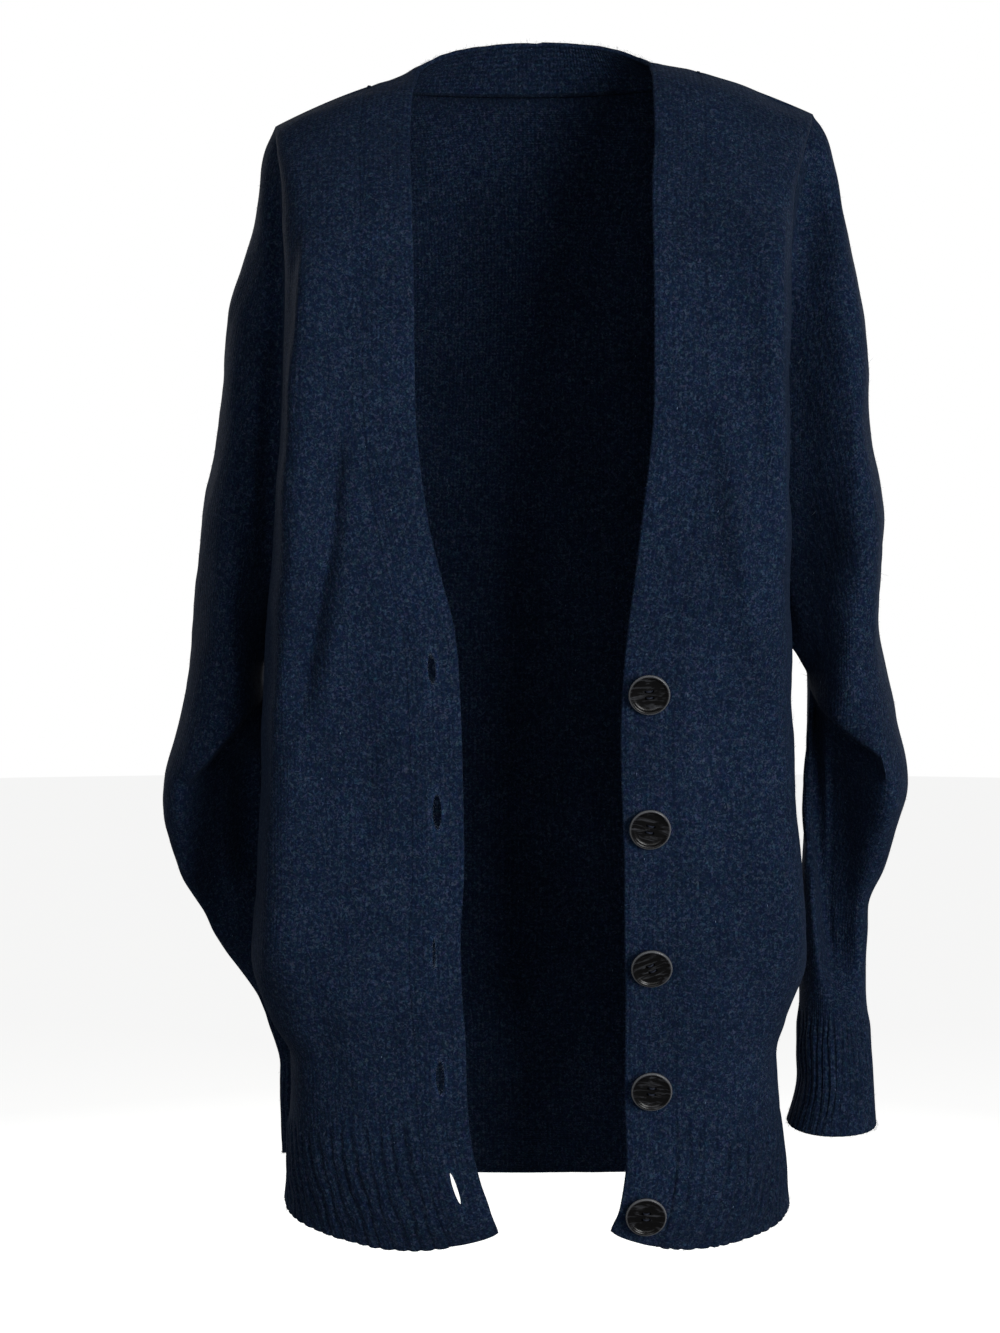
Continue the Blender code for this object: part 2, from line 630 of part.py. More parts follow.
def make_front(side, name):
    shares = np.linspace(0, 1, 10)
    at, run = front_grid(side, PANEL_ROWS, shares)
    outer = front_surface(side, at, run)
    outer[-1, :, 1] -= SHOULDER_SEAM
    facing = front_normals(side, at, run)
    facing[-1] = shoulder_mitre(side, shares)
    facing[-2] = (facing[-1] + facing[-2]) / 2
    above = PANEL_ROWS > UNDERARM
    facing[above, -1] = armhole_mitre(side, PANEL_ROWS[above], facing[above, -1], True)
    return wall_mesh(name, outer, outer - PANEL_WALL * facing, False)


def ribbed_wall(name, outer, facing, rises, rise, round_it):
    """A wall with ribs in its outer points over a plain inside of one point a rib."""
    plain = outer - RIB_WALL * facing
    return wall_mesh(name, outer + rise * facing * rises[..., None], plain[:, ::3], round_it)


def make_front_rib(side, name):
    length = along_rows(front_rows(side, [0.0]), np.zeros((1, 1)))[1][0]
    shares, rises = rib_profile(round((length - BAND_WIDTH) / HEM_RIB_PITCH))
    at, run = front_grid(side, RIB_ROWS, shares)
    outer = front_surface(side, at, run)
    facing = front_normals(side, at, run)
    return ribbed_wall(name, outer, facing, np.outer(RIB_FADE, rises), RIB_RISE, False)


def make_back(name):
    half = BACK_HALF * BACK_LIMIT
    at, across = np.meshgrid(PANEL_ROWS, np.concatenate([-half[:0:-1], half]), indexing="ij")
    outer = back_surface(at, across)
    outer[-1] += (0, SHOULDER_SEAM, -SEAM)
    facing = back_normals(at, across)
    above = PANEL_ROWS > UNDERARM
    for side in (RIGHT, LEFT):
        neck = neck_mitre(side, NECK_SHARES[:-1])
        top = np.concatenate([neck, shoulder_mitre(side, np.append(0, SHOULDER_SHARES))])
        places = len(half) - 1 + side * np.arange(len(half))
        facing[-1, places] = top
        facing[-2, places] = (facing[-2, places] + top) / 2
        end = places[-1]
        facing[above, end] = armhole_mitre(side, PANEL_ROWS[above], facing[above, end], False)
    return wall_mesh(name, outer, outer - PANEL_WALL * facing, False)


def make_back_rib(name):
    length = along_rows(back_rows([0.0]), np.zeros((1, 1)))[1][0]
    shares, rises = rib_profile(round(length / HEM_RIB_PITCH))
    at, across = np.meshgrid(RIB_ROWS, BACK_LIMIT * (2 * shares - 1), indexing="ij")
    outer = back_surface(at, across)
    facing = back_normals(at, across)
    return ribbed_wall(name, outer, facing, np.outer(RIB_FADE, rises), RIB_RISE, False)


def make_sleeve(side, name):
    ring, turn = np.meshgrid(SLEEVE_RINGS, TURNS, indexing="ij")
    outer = sleeve_surface(side, ring, turn)
    facing = sleeve_normals(side, ring, turn)
    rows = TOP - (TOP - UNDERARM) * (1 - np.cos(TURNS)) / 2
    by_front = np.sin(TURNS) >= 0
    edge = np.full((SLEEVE_SIDES, 1), 1000 + SEAM)
    front = front_normals(side, rows[:, None], edge)[:, 0]
    back = back_normals(rows[:, None], side * BACK_LIMIT + 0 * edge)[:, 0]
    front[0] = shoulder_mitre(side, [1.0])[0]
    facing[0] = mitre(facing[0], np.where(by_front[:, None], front, back))
    return wall_mesh(name, outer, outer - PANEL_WALL * facing, True)


def make_cuff(side, name):
    places, rises = rib_profile(CUFF_RIBS)
    rings = np.array([CUFF_TOP + SEAM_RING, CUFF_TOP + 0.5, CUFF_END])
    ring, turn = np.meshgrid(rings, places[:-1] * 2 * math.pi, indexing="ij")
    outer = sleeve_surface(side, ring, turn)
    facing = sleeve_normals(side, ring, turn)
    return ribbed_wall(name, outer, facing, np.outer([0, 0.8, 1], rises[:-1]), CUFF_RISE, True)


def make_band(side, name):
    neck = TOP + 1 - NECK_SHARES[-2::-1]
    neck[-1] -= SEAM / 120
    paths = np.concatenate([RIB_ROWS[:-1], PANEL_ROWS, neck])
    path, width = np.meshgrid(paths, np.array([0, 15.5, BAND_WIDTH - SEAM]), indexing="ij")
    first = len(paths) - len(neck)
    width[first:, -1] -= SHOULDER_SEAM
    outer = band_surface(side, path, width)
    facing = band_normals(side, path, width)
    facing[first:, -1] = neck_mitre(side, NECK_SHARES[-2::-1])
    facing[first - 1] = shoulder_mitre(side, [0.0])
    proud = outer + BAND_PROUD * facing
    return wall_mesh(name, proud, proud - BAND_WALL * facing, False)


def row_at_height(side, height, run):
    """The body row whose point at this distance from the free edge has this height."""
    rows = np.linspace(0, YOKE_START, 241)
    heights = front_surface(side, rows[:, None], np.full((len(rows), 1), run))[:, 0, 2]
    return float(np.interp(height, heights, rows))


def band_frame(side, height):
    """A matrix on the band's outer face at its middle: X across, Y up along it, Z outwards."""
    middle = BAND_WIDTH / 2
    row = row_at_height(side, height, middle)
    at, run = np.array([[row]]), np.array([[middle]])
    outward = Vector(band_normals(side, at, run)[0, 0])
    upward = band_surface(side, at + 0.05, run) - band_surface(side, at - 0.05, run)
    upward = Vector(upward[0, 0]).normalized()
    place = Vector(band_surface(side, at, run)[0, 0]) + BAND_PROUD * outward
    sideways = upward.cross(outward).normalized()
    upward = outward.cross(sideways)
    frame = Matrix((sideways, upward, outward)).transposed().to_4x4()
    frame.translation = place * MM
    return frame


def cut_buttonholes(band, collection):
    """Each buttonhole is an upright, leaf-like slit that goes right through the band."""
    for number, hole in enumerate(BUTTONHOLES, 1):
        mesh = bpy.data.meshes.new(f"buttonhole_cutter_{number}")
        bm = bmesh.new()
        bmesh.ops.create_cone(
            bm, cap_ends=True, segments=10, radius1=0.5, radius2=0.5, depth=CUT_DEPTH * MM
        )
        bmesh.ops.scale(bm, vec=(hole.width * MM, hole.length * MM, 1), verts=bm.verts)
        bm.to_mesh(mesh)
        bm.free()
        cutter = bpy.data.objects.new(mesh.name, mesh)
        cutter.matrix_world = band_frame(RIGHT, hole.height)
        cutter.hide_render = True
        cutter.display_type = "WIRE"
        collection.objects.link(cutter)
        cut = band.modifiers.new(f"buttonhole {number}", "BOOLEAN")
        cut.operation = "DIFFERENCE"
        cut.object = cutter


def button_mesh():
    """A turned button with a dished face and a raised rim, and four sewing holes."""
    profile = bpy.data.meshes.new("button_profile")
    spots = [(radius * MM, 0, height * MM) for radius, height in BUTTON_PROFILE]
    profile.from_pydata(spots, [(i, i + 1) for i in range(len(spots) - 1)], [])
    turned = bpy.data.objects.new("button_turned", profile)
    bpy.context.scene.collection.objects.link(turned)
    screw = turned.modifiers.new("turn", "SCREW")
    screw.steps = screw.render_steps = BUTTON_STEPS
    screw.use_merge_vertices = True
    screw.merge_threshold = 1e-5
    holes = bpy.data.meshes.new("button_holes")
    bm = bmesh.new()
    for i in range(4):
        turn = math.radians(45 + 90 * i)
        reach = BUTTON_HOLE_SPACING / math.sqrt(2) * MM
        place = Matrix.Translation((reach * math.cos(turn), reach * math.sin(turn), 0))
        radius = BUTTON_HOLE / 2 * MM
        bmesh.ops.create_cone(
            bm,
            cap_ends=True,
            segments=6,
            radius1=radius,
            radius2=radius,
            depth=CUT_DEPTH * MM,
            matrix=place,
        )
    bm.to_mesh(holes)
    bm.free()
    drill = bpy.data.objects.new("button_drill", holes)
    bpy.context.scene.collection.objects.link(drill)
    cut = turned.modifiers.new("sewing holes", "BOOLEAN")
    cut.operation = "DIFFERENCE"
    cut.object = drill
    bpy.context.view_layer.update()
    graph = bpy.context.evaluated_depsgraph_get()
    mesh = bpy.data.meshes.new_from_object(turned.evaluated_get(graph))
    mesh.name = "button"
    for helper in (turned, drill):
        bpy.data.objects.remove(helper)
    return mesh


def button_matrix(height):
    """On the left band, leaning forward at its top, its lowest rim just clear of the knit."""
    frame = band_frame(LEFT, height)
    clear = BUTTON_DIAMETER / 2 * math.sin(BUTTON_DROOP) + BUTTON_CLEAR
    lift = Matrix.Translation((0, 0, clear * MM))
    return frame @ lift @ Matrix.Rotation(BUTTON_DROOP, 4, "X")


def main():
    for old in list(bpy.data.objects):
        bpy.data.objects.remove(old)
    garment = bpy.data.collections.new("cardigan")
    cutters = bpy.data.collections.new("cardigan_cutters")
    for collection in (garment, cutters):
        bpy.context.scene.collection.children.link(collection)

    panel_wool = make_material("felted wool, panels", (0.013, 0.021, 0.046), 0.95)
    sleeve_wool = make_material("felted wool, sleeves", (0.014, 0.022, 0.048), 0.95)
    rib_wool = make_material("felted wool, ribs", (0.012, 0.019, 0.042), 0.95)
    band_wool = make_material("felted wool, front band", (0.013, 0.020, 0.044), 0.95)
    horn = make_material("dark horn resin", (0.011, 0.009, 0.008), 0.35)

    add_object(make_back("back"), panel_wool, garment)
    add_object(make_front(RIGHT, "front_right"), panel_wool, garment)
    add_object(make_front(LEFT, "front_left"), panel_wool, garment)
    add_object(make_back_rib("hem_rib_back"), rib_wool, garment)
    add_object(make_front_rib(RIGHT, "hem_rib_right"), rib_wool, garment)
    add_object(make_front_rib(LEFT, "hem_rib_left"), rib_wool, garment)
    for side, word in ((RIGHT, "right"), (LEFT, "left")):
        add_object(make_sleeve(side, f"sleeve_{word}"), sleeve_wool, garment)
        add_object(make_cuff(side, f"cuff_{word}"), rib_wool, garment)
    band = add_object(make_band(RIGHT, "band_right"), band_wool, garment)
    cut_buttonholes(band, cutters)
    add_object(make_band(LEFT, "band_left"), band_wool, garment)
    shape = button_mesh()
    shape.materials.append(horn)
    shape.shade_smooth()
    for number, height in enumerate(BUTTON_HEIGHTS, 1):
        button = bpy.data.objects.new(f"button_{number}", shape)
        button.matrix_world = button_matrix(height)
        garment.objects.link(button)


main()
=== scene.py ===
"""A long V-neck cardigan of felted lambswool, worn open, dressed over its fixed frame.

It is laid out as an add-on and run as a script. Tables and surface formulas are in millimetres
and sizes that a user would change are in metres. +Z is up, +X the wearer's left, -Y the front.
"""

import math
from collections import namedtuple

import bmesh
import bpy
import numpy as np
from bpy.props import FloatProperty, FloatVectorProperty, IntProperty, PointerProperty
from mathutils import Matrix, Vector


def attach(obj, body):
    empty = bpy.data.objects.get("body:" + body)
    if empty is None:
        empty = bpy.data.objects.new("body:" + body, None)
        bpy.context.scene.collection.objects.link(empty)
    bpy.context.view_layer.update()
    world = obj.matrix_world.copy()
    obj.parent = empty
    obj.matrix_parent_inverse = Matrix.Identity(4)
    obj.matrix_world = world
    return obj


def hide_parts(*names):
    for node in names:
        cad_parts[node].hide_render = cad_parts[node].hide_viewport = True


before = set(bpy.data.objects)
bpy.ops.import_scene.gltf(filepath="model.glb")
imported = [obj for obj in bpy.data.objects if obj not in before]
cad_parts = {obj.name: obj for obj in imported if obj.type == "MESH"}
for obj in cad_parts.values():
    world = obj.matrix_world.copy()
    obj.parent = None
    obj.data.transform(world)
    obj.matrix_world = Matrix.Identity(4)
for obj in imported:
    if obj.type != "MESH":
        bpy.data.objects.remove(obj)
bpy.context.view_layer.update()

bl_info = {
    "name": "Felted wool cardigan",
    "version": (1, 0, 0),
    "blender": (4, 5, 0),
    "location": "3D View > Sidebar > Cardigan",
    "description": "Knits, sews and lights a long felted-wool cardigan over its frame",
    "category": "Add Mesh",
}

MM = 0.001
RIGHT, LEFT = -1, 1  # the wearer's sides
WORDS = {RIGHT: "right", LEFT: "left"}


def linear(code):
    """A colour's linear red, green and blue from its sRGB hex value."""
    part = np.array([int(code[i : i + 2], 16) for i in (1, 3, 5)]) / 255
    return tuple(np.where(part <= 0.04045, part / 12.92, ((part + 0.055) / 1.055) ** 2.4))


# ---------------------------------------------------------------- the garment's tables

BAND_PROUD = 0.5
BAND_WIDTH = 31.0
ARMHOLE_STEP = 0.1
CUFF_RIBS = 36
NECK_BACK_RISE = 24.0
NECK_BACK_DEPTH = 60.0
NECK_SHARE = 0.66

# The body, one row from the hem up to the shoulder seam. "edge" is the free front edge, "side"
# the side seam or, above the underarm, the armhole edge of the front and of the back.
BodyRow = namedtuple(
    "BodyRow",
    "edge_z edge_y right_edge_x left_edge_x side_z front_side_y back_side_y "
    "right_side_x left_side_x back_z back_y left_lift sag",
)
BODY_ROWS = [
    BodyRow(-741, -108, -26, 47, -744, 0, 0, -167.0, 168.0, -750, 92, 0, 12),  # hem
    BodyRow(-724, -115, -31.5, 53, -729, 0, 0, -165.5, 166.0, -734, 91, 0, 8),
    BodyRow(-691, -114, -41.5, 57, -709, 0, 0, -163.5, 163.0, -712, 90, 0, 3),
    BodyRow(-656, -111, -45.5, 56, -672, 0, 0, -160.0, 158.5, -672, 90, 0, 0),  # rib's top
    BodyRow(-618, -112, -46.5, 56, -640, 0, 0, -159.0, 156.5, -640, 92, 0, 0),
    BodyRow(-592, -116, -48.5, 56, -613, 0, 0, -173.0, 163.0, -613, 99, 0, 0),
    BodyRow(-553, -121, -49.5, 55, -572, 0, 0, -185.5, 176.5, -570, 107, 0, 0),  # widest
    BodyRow(-503, -123, -47, 54.5, -519, 0, 0, -181.5, 172.0, -515, 107, 0, 0),
    BodyRow(-427, -124, -48.5, 52, -439, 0, 0, -177.5, 165.0, -435, 101, 0, 0),
    BodyRow(-365, -126, -52, 55.5, -373, 0, 0, -175.0, 164.0, -369, 104, 0, 0),  # underarm
    BodyRow(-330, -128, -60, 60, -338, -26, 30, -171.5, 162.5, -334, 107, 0, 0),
    BodyRow(-291, -129, -69, 64.5, -294, -42, 44, -168.0, 161.0, -290, 110, 0, 0),
    BodyRow(-217, -126, -77, 72, -215, -50, 52, -163.0, 159.0, -208, 112, 0, 0),
    BodyRow(-149, -112, -78, 72.5, -144, -48, 50, -160.5, 160.0, -134, 108, 1, 0),
    BodyRow(-92, -85, -80, 72.5, -90, -34, 38, -162.5, 164.5, -78, 99, 2, 0),
    BodyRow(-45, -50, -82, 75.5, -58, -16, 22, -167.0, 173.0, -40, 90, 4, 0),
    BodyRow(-16, -22, -81, 75.5, -43, -4, 13, -169.5, 178.5, -19, 83, 6, 0),
    BodyRow(-4, 5, -79, 75, -37, 5, 5, -170.5, 180.5, -8, 75, 8, 0),  # shoulder seam
]
TOP = len(BODY_ROWS) - 1
RIB_TOP = 3
UNDERARM = 9
YOKE_START = 13  # above this row the back turns from a rounded section to the neck's curve
FRONT_FULLNESS = 4.2
HEM_FULLNESS = 2.4  # rounder at the hem, where no shoulder or elbow holds the fronts out
HEM_ROW, HEM_ROWS = 0.5, 4  # above this row the section fills out, over so many rows
BACK_FULLNESS = 2.5
SHOULDER_DROP = 1.4

# A sleeve, one ring from the armhole to the end of its cuff. "outer" follows the outline away
# from the body and "inner" the underarm line. "reach" is half the ring's size from front to
# back, and "turn" in degrees swings that direction outwards.
SleeveRing = namedtuple(
    "SleeveRing", "outer_x outer_y outer_z inner_x inner_y inner_z reach turn"
)
RIGHT_SLEEVE = [
    SleeveRing(-170.5, 5, -37, -175.0, 0, -373, 50, 0),
    SleeveRing(-179.5, 12, -60, -177.0, 4, -376, 56, 0),
    SleeveRing(-186.0, 20, -101, -178.5, 9, -380, 61, 0),
    SleeveRing(-199.5, 28, -152, -180.0, 14, -385, 66, 0),
    SleeveRing(-208.5, 36, -214, -182.0, 20, -392, 72, 0),
    SleeveRing(-220.0, 44, -285, -182.5, 26, -401, 77, 0),
    SleeveRing(-228.0, 48, -350, -179.0, 32, -412, 79, 0),
    SleeveRing(-234.0, 49, -417, -174.5, 42, -428, 78, 4),
    SleeveRing(-246.5, 52, -486, -170.0, 54, -452, 72, 10),
    SleeveRing(-233.5, 62, -530, -168.0, 66, -486, 63, 18),
    SleeveRing(-209.5, 84, -572, -160.0, 80, -526, 55, 32),
    SleeveRing(-187.0, 112, -612, -144.0, 90, -572, 48, 46),
    SleeveRing(-162.0, 134, -650, -132.0, 97, -614, 44, 56),
    SleeveRing(-152.0, 144, -694, -125.0, 100, -660, 42, 60),
    SleeveRing(-152.0, 147, -745, -122.0, 101, -732, 42, 60),
]
LEFT_SLEEVE = [
    SleeveRing(180.5, 5, -33, 164.0, 0, -373, 50, 0),
    SleeveRing(191.5, 7, -60, 166.0, 1, -376, 57, 0),
    SleeveRing(199.5, 9, -90, 169.5, 3, -379, 62, 0),
    SleeveRing(212.0, 12, -150, 175.0, 6, -386, 70, 0),
    SleeveRing(217.5, 14, -213, 180.0, 9, -394, 77, 0),
    SleeveRing(227.5, 16, -283, 182.0, 12, -403, 81, 0),
    SleeveRing(228.0, 19, -352, 182.5, 16, -416, 82, 0),
    SleeveRing(237.0, 24, -421, 182.0, 22, -437, 80, 0),
    SleeveRing(249.0, 32, -472, 181.5, 30, -463, 73, 0),
    SleeveRing(236.5, 36, -516, 181.0, 36, -503, 62, 0),
    SleeveRing(225.0, 40, -556, 180.0, 40, -550, 53, 0),
    SleeveRing(224.5, 40, -600, 179.0, 40, -600, 46, 0),
    SleeveRing(225.0, 33, -634, 180.0, 33, -634, 42, 0),
    SleeveRing(226.0, 24, -662, 179.5, 24, -664, 41, 0),
    SleeveRing(228.0, 14, -697, 169.5, 14, -697, 43, 0),
]
SLEEVES = {RIGHT: RIGHT_SLEEVE, LEFT: LEFT_SLEEVE}
CUFF_TOP = 11.4
CUFF_END = len(LEFT_SLEEVE) - 1
ARMHOLE_BLEND = 3.4
SLEEVE_FULLNESS = 2.15
CAP_RISE = {RIGHT: 0.0, LEFT: 2.0}  # the sleeve's roundness just past the shoulder's end

# Folds seen from the front or the back: a soft trough (rise below 0) or ridge between two points,
# the upper one first. "near" is its half width towards -X and "far", if it differs, towards +X.
Fold = namedtuple("Fold", "x0 z0 x1 z1 rise near far", defaults=[None])
FOLD_END = 50.0  # the length over which a fold sets in
SEAM_HOLD, SIDE_HOLD = 25.0, 12.0  # how far the band's seam and the side seam hold folds flat
FRONT_FOLDS = [
    Fold(-122, -245, -127, -300, -9.0, 12, 7),
    Fold(-127, -300, -147, -405, -11.0, 11, 7),
    Fold(-154, -415, -166, -470, -3.0, 10),
    Fold(-115, -250, -140, -400, 2.0, 6, 14),
    Fold(-146, -125, -156, -285, 17.0, 4.5, 22),
    Fold(-156, -285, -165, -425, 17.0, 4.5, 22),
    Fold(-165, -425, -173, -575, 17.0, 4.5, 22),
    Fold(104, -210, 119, -268, 6.0, 12, 6),
    Fold(119, -268, 138, -385, 6.5, 12, 6),
    Fold(132, -215, 150, -340, -3.0, 6, 9),
    Fold(152, -110, 152, -340, 15.0, 18, 5),
    Fold(152, -340, 161, -430, 15.0, 18, 5),
    Fold(161, -430, 172, -575, 14.0, 18, 5),
    Fold(-104, -410, -108, -500, -2.5, 11),
    Fold(-140, -590, -126, -660, -3.0, 10),
    Fold(-92, -592, -86, -655, -2.0, 9),
    Fold(118, -210, 128, -330, 2.0, 12),
    Fold(108, -400, 118, -520, -2.5, 12),
    Fold(140, -590, 128, -660, -3.0, 10),
    Fold(100, -592, 98, -655, -2.0, 9),
]
BACK_FOLDS = [
    Fold(-118, -260, -104, -470, -4.5, 16),
    Fold(-46, -300, -38, -560, -3.5, 18),
    Fold(24, -180, 30, -430, -3.0, 18),
    Fold(88, -330, 80, -590, -4.5, 16),
    Fold(132, -240, 140, -420, -4.0, 13),
    Fold(-92, -560, -96, -655, -3.0, 12),
    Fold(6, -590, 4, -660, -2.5, 12),
    Fold(112, -600, 116, -660, -2.5, 10),
]
# Smaller creases, added to those above.
FRONT_CREASES = [
    Fold(-112, -120, -120, -215, -1.4, 10),
    Fold(-88, -210, -82, -330, 1.0, 12),
    Fold(-150, -300, -162, -400, 1.6, 8),
    Fold(-118, -330, -132, -420, 1.5, 8),
    Fold(-128, -500, -150, -560, 1.4, 14),
    Fold(-78, -540, -70, -600, -1.1, 10),
    Fold(-155, -560, -172, -585, -1.2, 7),
    Fold(118, -130, 128, -220, -1.2, 10),
    Fold(96, -230, 92, -340, 0.9, 12),
    Fold(152, -300, 158, -390, -1.6, 7),
    Fold(126, -450, 150, -540, 1.5, 14),
    Fold(84, -520, 78, -600, -1.0, 10),
    Fold(150, -560, 164, -585, -1.2, 7),
]
BACK_CREASES = [
    Fold(-150, -180, -132, -330, 1.8, 10),
    Fold(-80, -380, -66, -520, 1.6, 11),
    Fold(-10, -240, -6, -380, 1.3, 12),
    Fold(56, -260, 64, -400, -1.8, 9),
    Fold(112, -470, 122, -560, 1.7, 11),
    Fold(-140, -470, -150, -560, -2.0, 10),
    Fold(48, -540, 44, -640, -1.5, 9),
    Fold(-30, -570, -34, -640, 1.2, 10),
    Fold(150, -330, 156, -470, -1.6, 8),
]
# The same on the sleeves: "face" is 1 on the front half and -1 on the back half.
SleeveFold = namedtuple("SleeveFold", "face x0 z0 x1 z1 rise near far", defaults=[None])
SLEEVE_FOLDS = {
    RIGHT: [
        SleeveFold(1, -164, -90, -168, -200, -12.0, 8, 10),
        SleeveFold(1, -168, -200, -175, -330, -14.0, 8, 10),
        SleeveFold(1, -175, -330, -181, -410, -16.0, 10, 12),
        SleeveFold(1, -196, -160, -188, -300, -2.2, 9),
        SleeveFold(1, -212, -260, -200, -380, 1.8, 9),
        SleeveFold(1, -186, -330, -214, -420, -2.6, 8),
        SleeveFold(1, -232, -420, -222, -462, 1.6, 7),
        SleeveFold(1, -240, -500, -214, -540, -2.6, 7),
        SleeveFold(1, -222, -470, -206, -530, 2.0, 6),
        SleeveFold(1, -200, -560, -170, -610, -2.2, 7),
        SleeveFold(-1, -200, -140, -190, -280, -3.0, 11),
        SleeveFold(-1, -222, -300, -196, -400, 2.6, 10),
        SleeveFold(-1, -190, -380, -232, -440, -3.6, 9),
        SleeveFold(-1, -240, -470, -200, -520, -3.4, 9),
        SleeveFold(-1, -190, -470, -214, -500, 2.4, 8),
        SleeveFold(-1, -190, -560, -160, -620, -2.4, 8),
    ],
    LEFT: [
        SleeveFold(1, 174, -75, 163, -150, -32.0, 8, 24),
        SleeveFold(1, 163, -150, 161, -230, -38.0, 7, 30),
        SleeveFold(1, 161, -230, 164, -330, -30.0, 7, 28),
        SleeveFold(1, 164, -330, 173, -400, -15.0, 8, 26),
        SleeveFold(1, 200, -100, 214, -330, 6.0, 16, 8),
        SleeveFold(1, 198, -425, 202, -600, -32.0, 7, 15),
        SleeveFold(1, 206, -120, 196, -260, -1.8, 10),
        SleeveFold(1, 214, -250, 200, -350, 1.6, 10),
        SleeveFold(1, 192, -300, 216, -400, -2.2, 9),
        SleeveFold(1, 232, -430, 222, -452, 1.4, 7),
        SleeveFold(1, 240, -490, 214, -530, -2.4, 7),
        SleeveFold(1, 222, -500, 212, -580, 1.6, 7),
        SleeveFold(1, 208, -560, 206, -630, -1.8, 6),
        SleeveFold(-1, 208, -130, 196, -270, -3.0, 11),
        SleeveFold(-1, 190, -300, 222, -390, 2.6, 10),
        SleeveFold(-1, 196, -380, 236, -430, -3.6, 9),
        SleeveFold(-1, 240, -470, 198, -510, -3.2, 9),
        SleeveFold(-1, 226, -500, 200, -560, 2.2, 8),
        SleeveFold(-1, 214, -560, 204, -640, -2.2, 7),
    ],
}

# The slack sleeve rolls over its own forearm at the elbow. "lip" is the lowest line of that roll
# as (x, z) from the underarm outwards, and "pleat" the upright crease down the forearm.
Elbow = namedtuple("Elbow", "lip swell droop step_back fade pleat pleat_in pleat_half_width")
ELBOWS = {
    RIGHT: Elbow(
        [(-179, -410.5), (-187.5, -417), (-195.4, -430.8), (-209.2, -445.9), (-221.1, -460.3),
         (-227.7, -470.8)],
        6.0, 12.0, 28.0, 110.0,
        [(-196, -440), (-196, -520), (-188, -560)], 16.0, 12.0,
    ),
    LEFT: Elbow(
        [(170.6, -390.4), (178.4, -402), (188.2, -415.6), (197.9, -425.3), (207, -433),
         (214.1, -439.5), (220.7, -448.6), (224, -458.9), (225.4, -466.7)],
        6.0, 12.0, 27.0, 150.0,
        [(186.4, -407), (190.2, -507.7), (193.9, -568), (196.9, -609)], 24.0, 5.4,
    ),
}

Buttonhole = namedtuple("Buttonhole", "height length width")
BUTTONHOLES = [
    Buttonhole(-383, 19, 4.8),
    Buttonhole(-472, 22, 5.4),
    Buttonhole(-561, 19, 1.8),
    Buttonhole(-642, 21, 5.2),
    Buttonhole(-712, 21, 2.8),
]
BUTTON_HEIGHTS = [-398, -482, -569, -649, -728]
BUTTON_DROOP = math.radians(12)
BUTTON_CLEAR = 0.6  # between its lowest rim and the knit
BUTTON_RADIUS = 13.0
BUTTON_SPINS = (8, -14, 21, -5, 12)  # degrees by which each is turned on its thread
RIM_HIGHLIGHT_RADIUS, RIM_HIGHLIGHT_WIDTH = 12.6, 0.4  # the ring on the rim's top where a highlight is painted in a lighter grey
# The button's half profile, down its face, round the rim and back to the centre: radius, height.
BUTTON_PROFILE = [
    (0.0, 2.2), (3.2, 2.2), (6.4, 2.24), (8.6, 2.36), (9.8, 2.55), (10.4, 2.9), (10.8, 3.35),
    (11.2, 3.66), (11.7, 3.82), (12.25, 3.72), (12.7, 3.35), (12.95, 2.75), (12.95, 1.9),
    (12.6, 1.1), (12.0, 0.5), (11.0, 0.15), (9.6, 0.0), (4.5, 0.0), (0.0, 0.0),
]


# ---------------------------------------------------------------- curves through tables


def slopes(values):
    """Slope at each knot that never overshoots: nought at a peak, else a harmonic mean."""
    step = np.diff(values, axis=0)
    before, after = step[:-1], step[1:]
    same_way = before * after > 0
    total = np.where(same_way, before + after, 1.0)
    inside = np.where(same_way, 2 * before * after / total, 0.0)
    return np.concatenate([step[:1], inside, step[-1:]])


def read_table(table, at):
    """The table's columns at each fractional row number: cubic curves through its rows."""
    values = np.array(table, float)
    slope = slopes(values)
    at = np.clip(np.asarray(at, float), 0, len(values) - 1)
    low = np.minimum(at.astype(int), len(values) - 2)
    t = (at - low)[..., None]
    start, end = values[low], values[low + 1]
    columns = (
        start * (1 + 2 * t) * (1 - t) ** 2
        + end * t**2 * (3 - 2 * t)
        + slope[low] * t * (1 - t) ** 2
        - slope[low + 1] * t**2 * (1 - t)
    )
    return dict(zip(table[0]._fields, np.moveaxis(columns, -1, 0)))


def smooth_step(t):
    """0 below 0 and 1 above 1, with a smooth cubic between them."""
    t = np.clip(t, 0, 1)
    return t * t * (3 - 2 * t)


def points(x, y, z):
    """An array of points from arrays of coordinates of any matching shapes."""
    return np.stack(np.broadcast_arrays(x, y, z), axis=-1).astype(float)


def unit(vectors):
    """Each vector at length 1."""
    length = np.linalg.norm(vectors, axis=-1, keepdims=True)
    return vectors / np.maximum(length, 1e-9)


def along_rows(curves, distance):
    """Points at each distance along each row's polyline, and each polyline's length. All rows are
    searched at once: each row's distances are shifted past those of the rows before it."""
    step = np.linalg.norm(np.diff(curves, axis=1), axis=-1)
    run = np.concatenate([np.zeros((len(curves), 1)), np.cumsum(step, axis=1)], axis=1)
    shift = np.arange(len(curves))[:, None] * (run[:, -1].max() + 10)
    wanted = np.clip(distance, 0, run[:, -1:])
    found = np.searchsorted((run + shift).ravel(), (wanted + shift).ravel(), side="right") - 1
    count = curves.shape[1]
    low = found.reshape(wanted.shape) - np.arange(len(curves))[:, None] * count
    low = np.clip(low, 0, count - 2)
    start = np.take_along_axis(run, low, 1)
    end = np.take_along_axis(run, low + 1, 1)
    share = ((wanted - start) / np.maximum(end - start, 1e-9))[..., None]
    rows = np.arange(len(curves))[:, None]
    return curves[rows, low] * (1 - share) + curves[rows, low + 1] * share, run[:, -1]


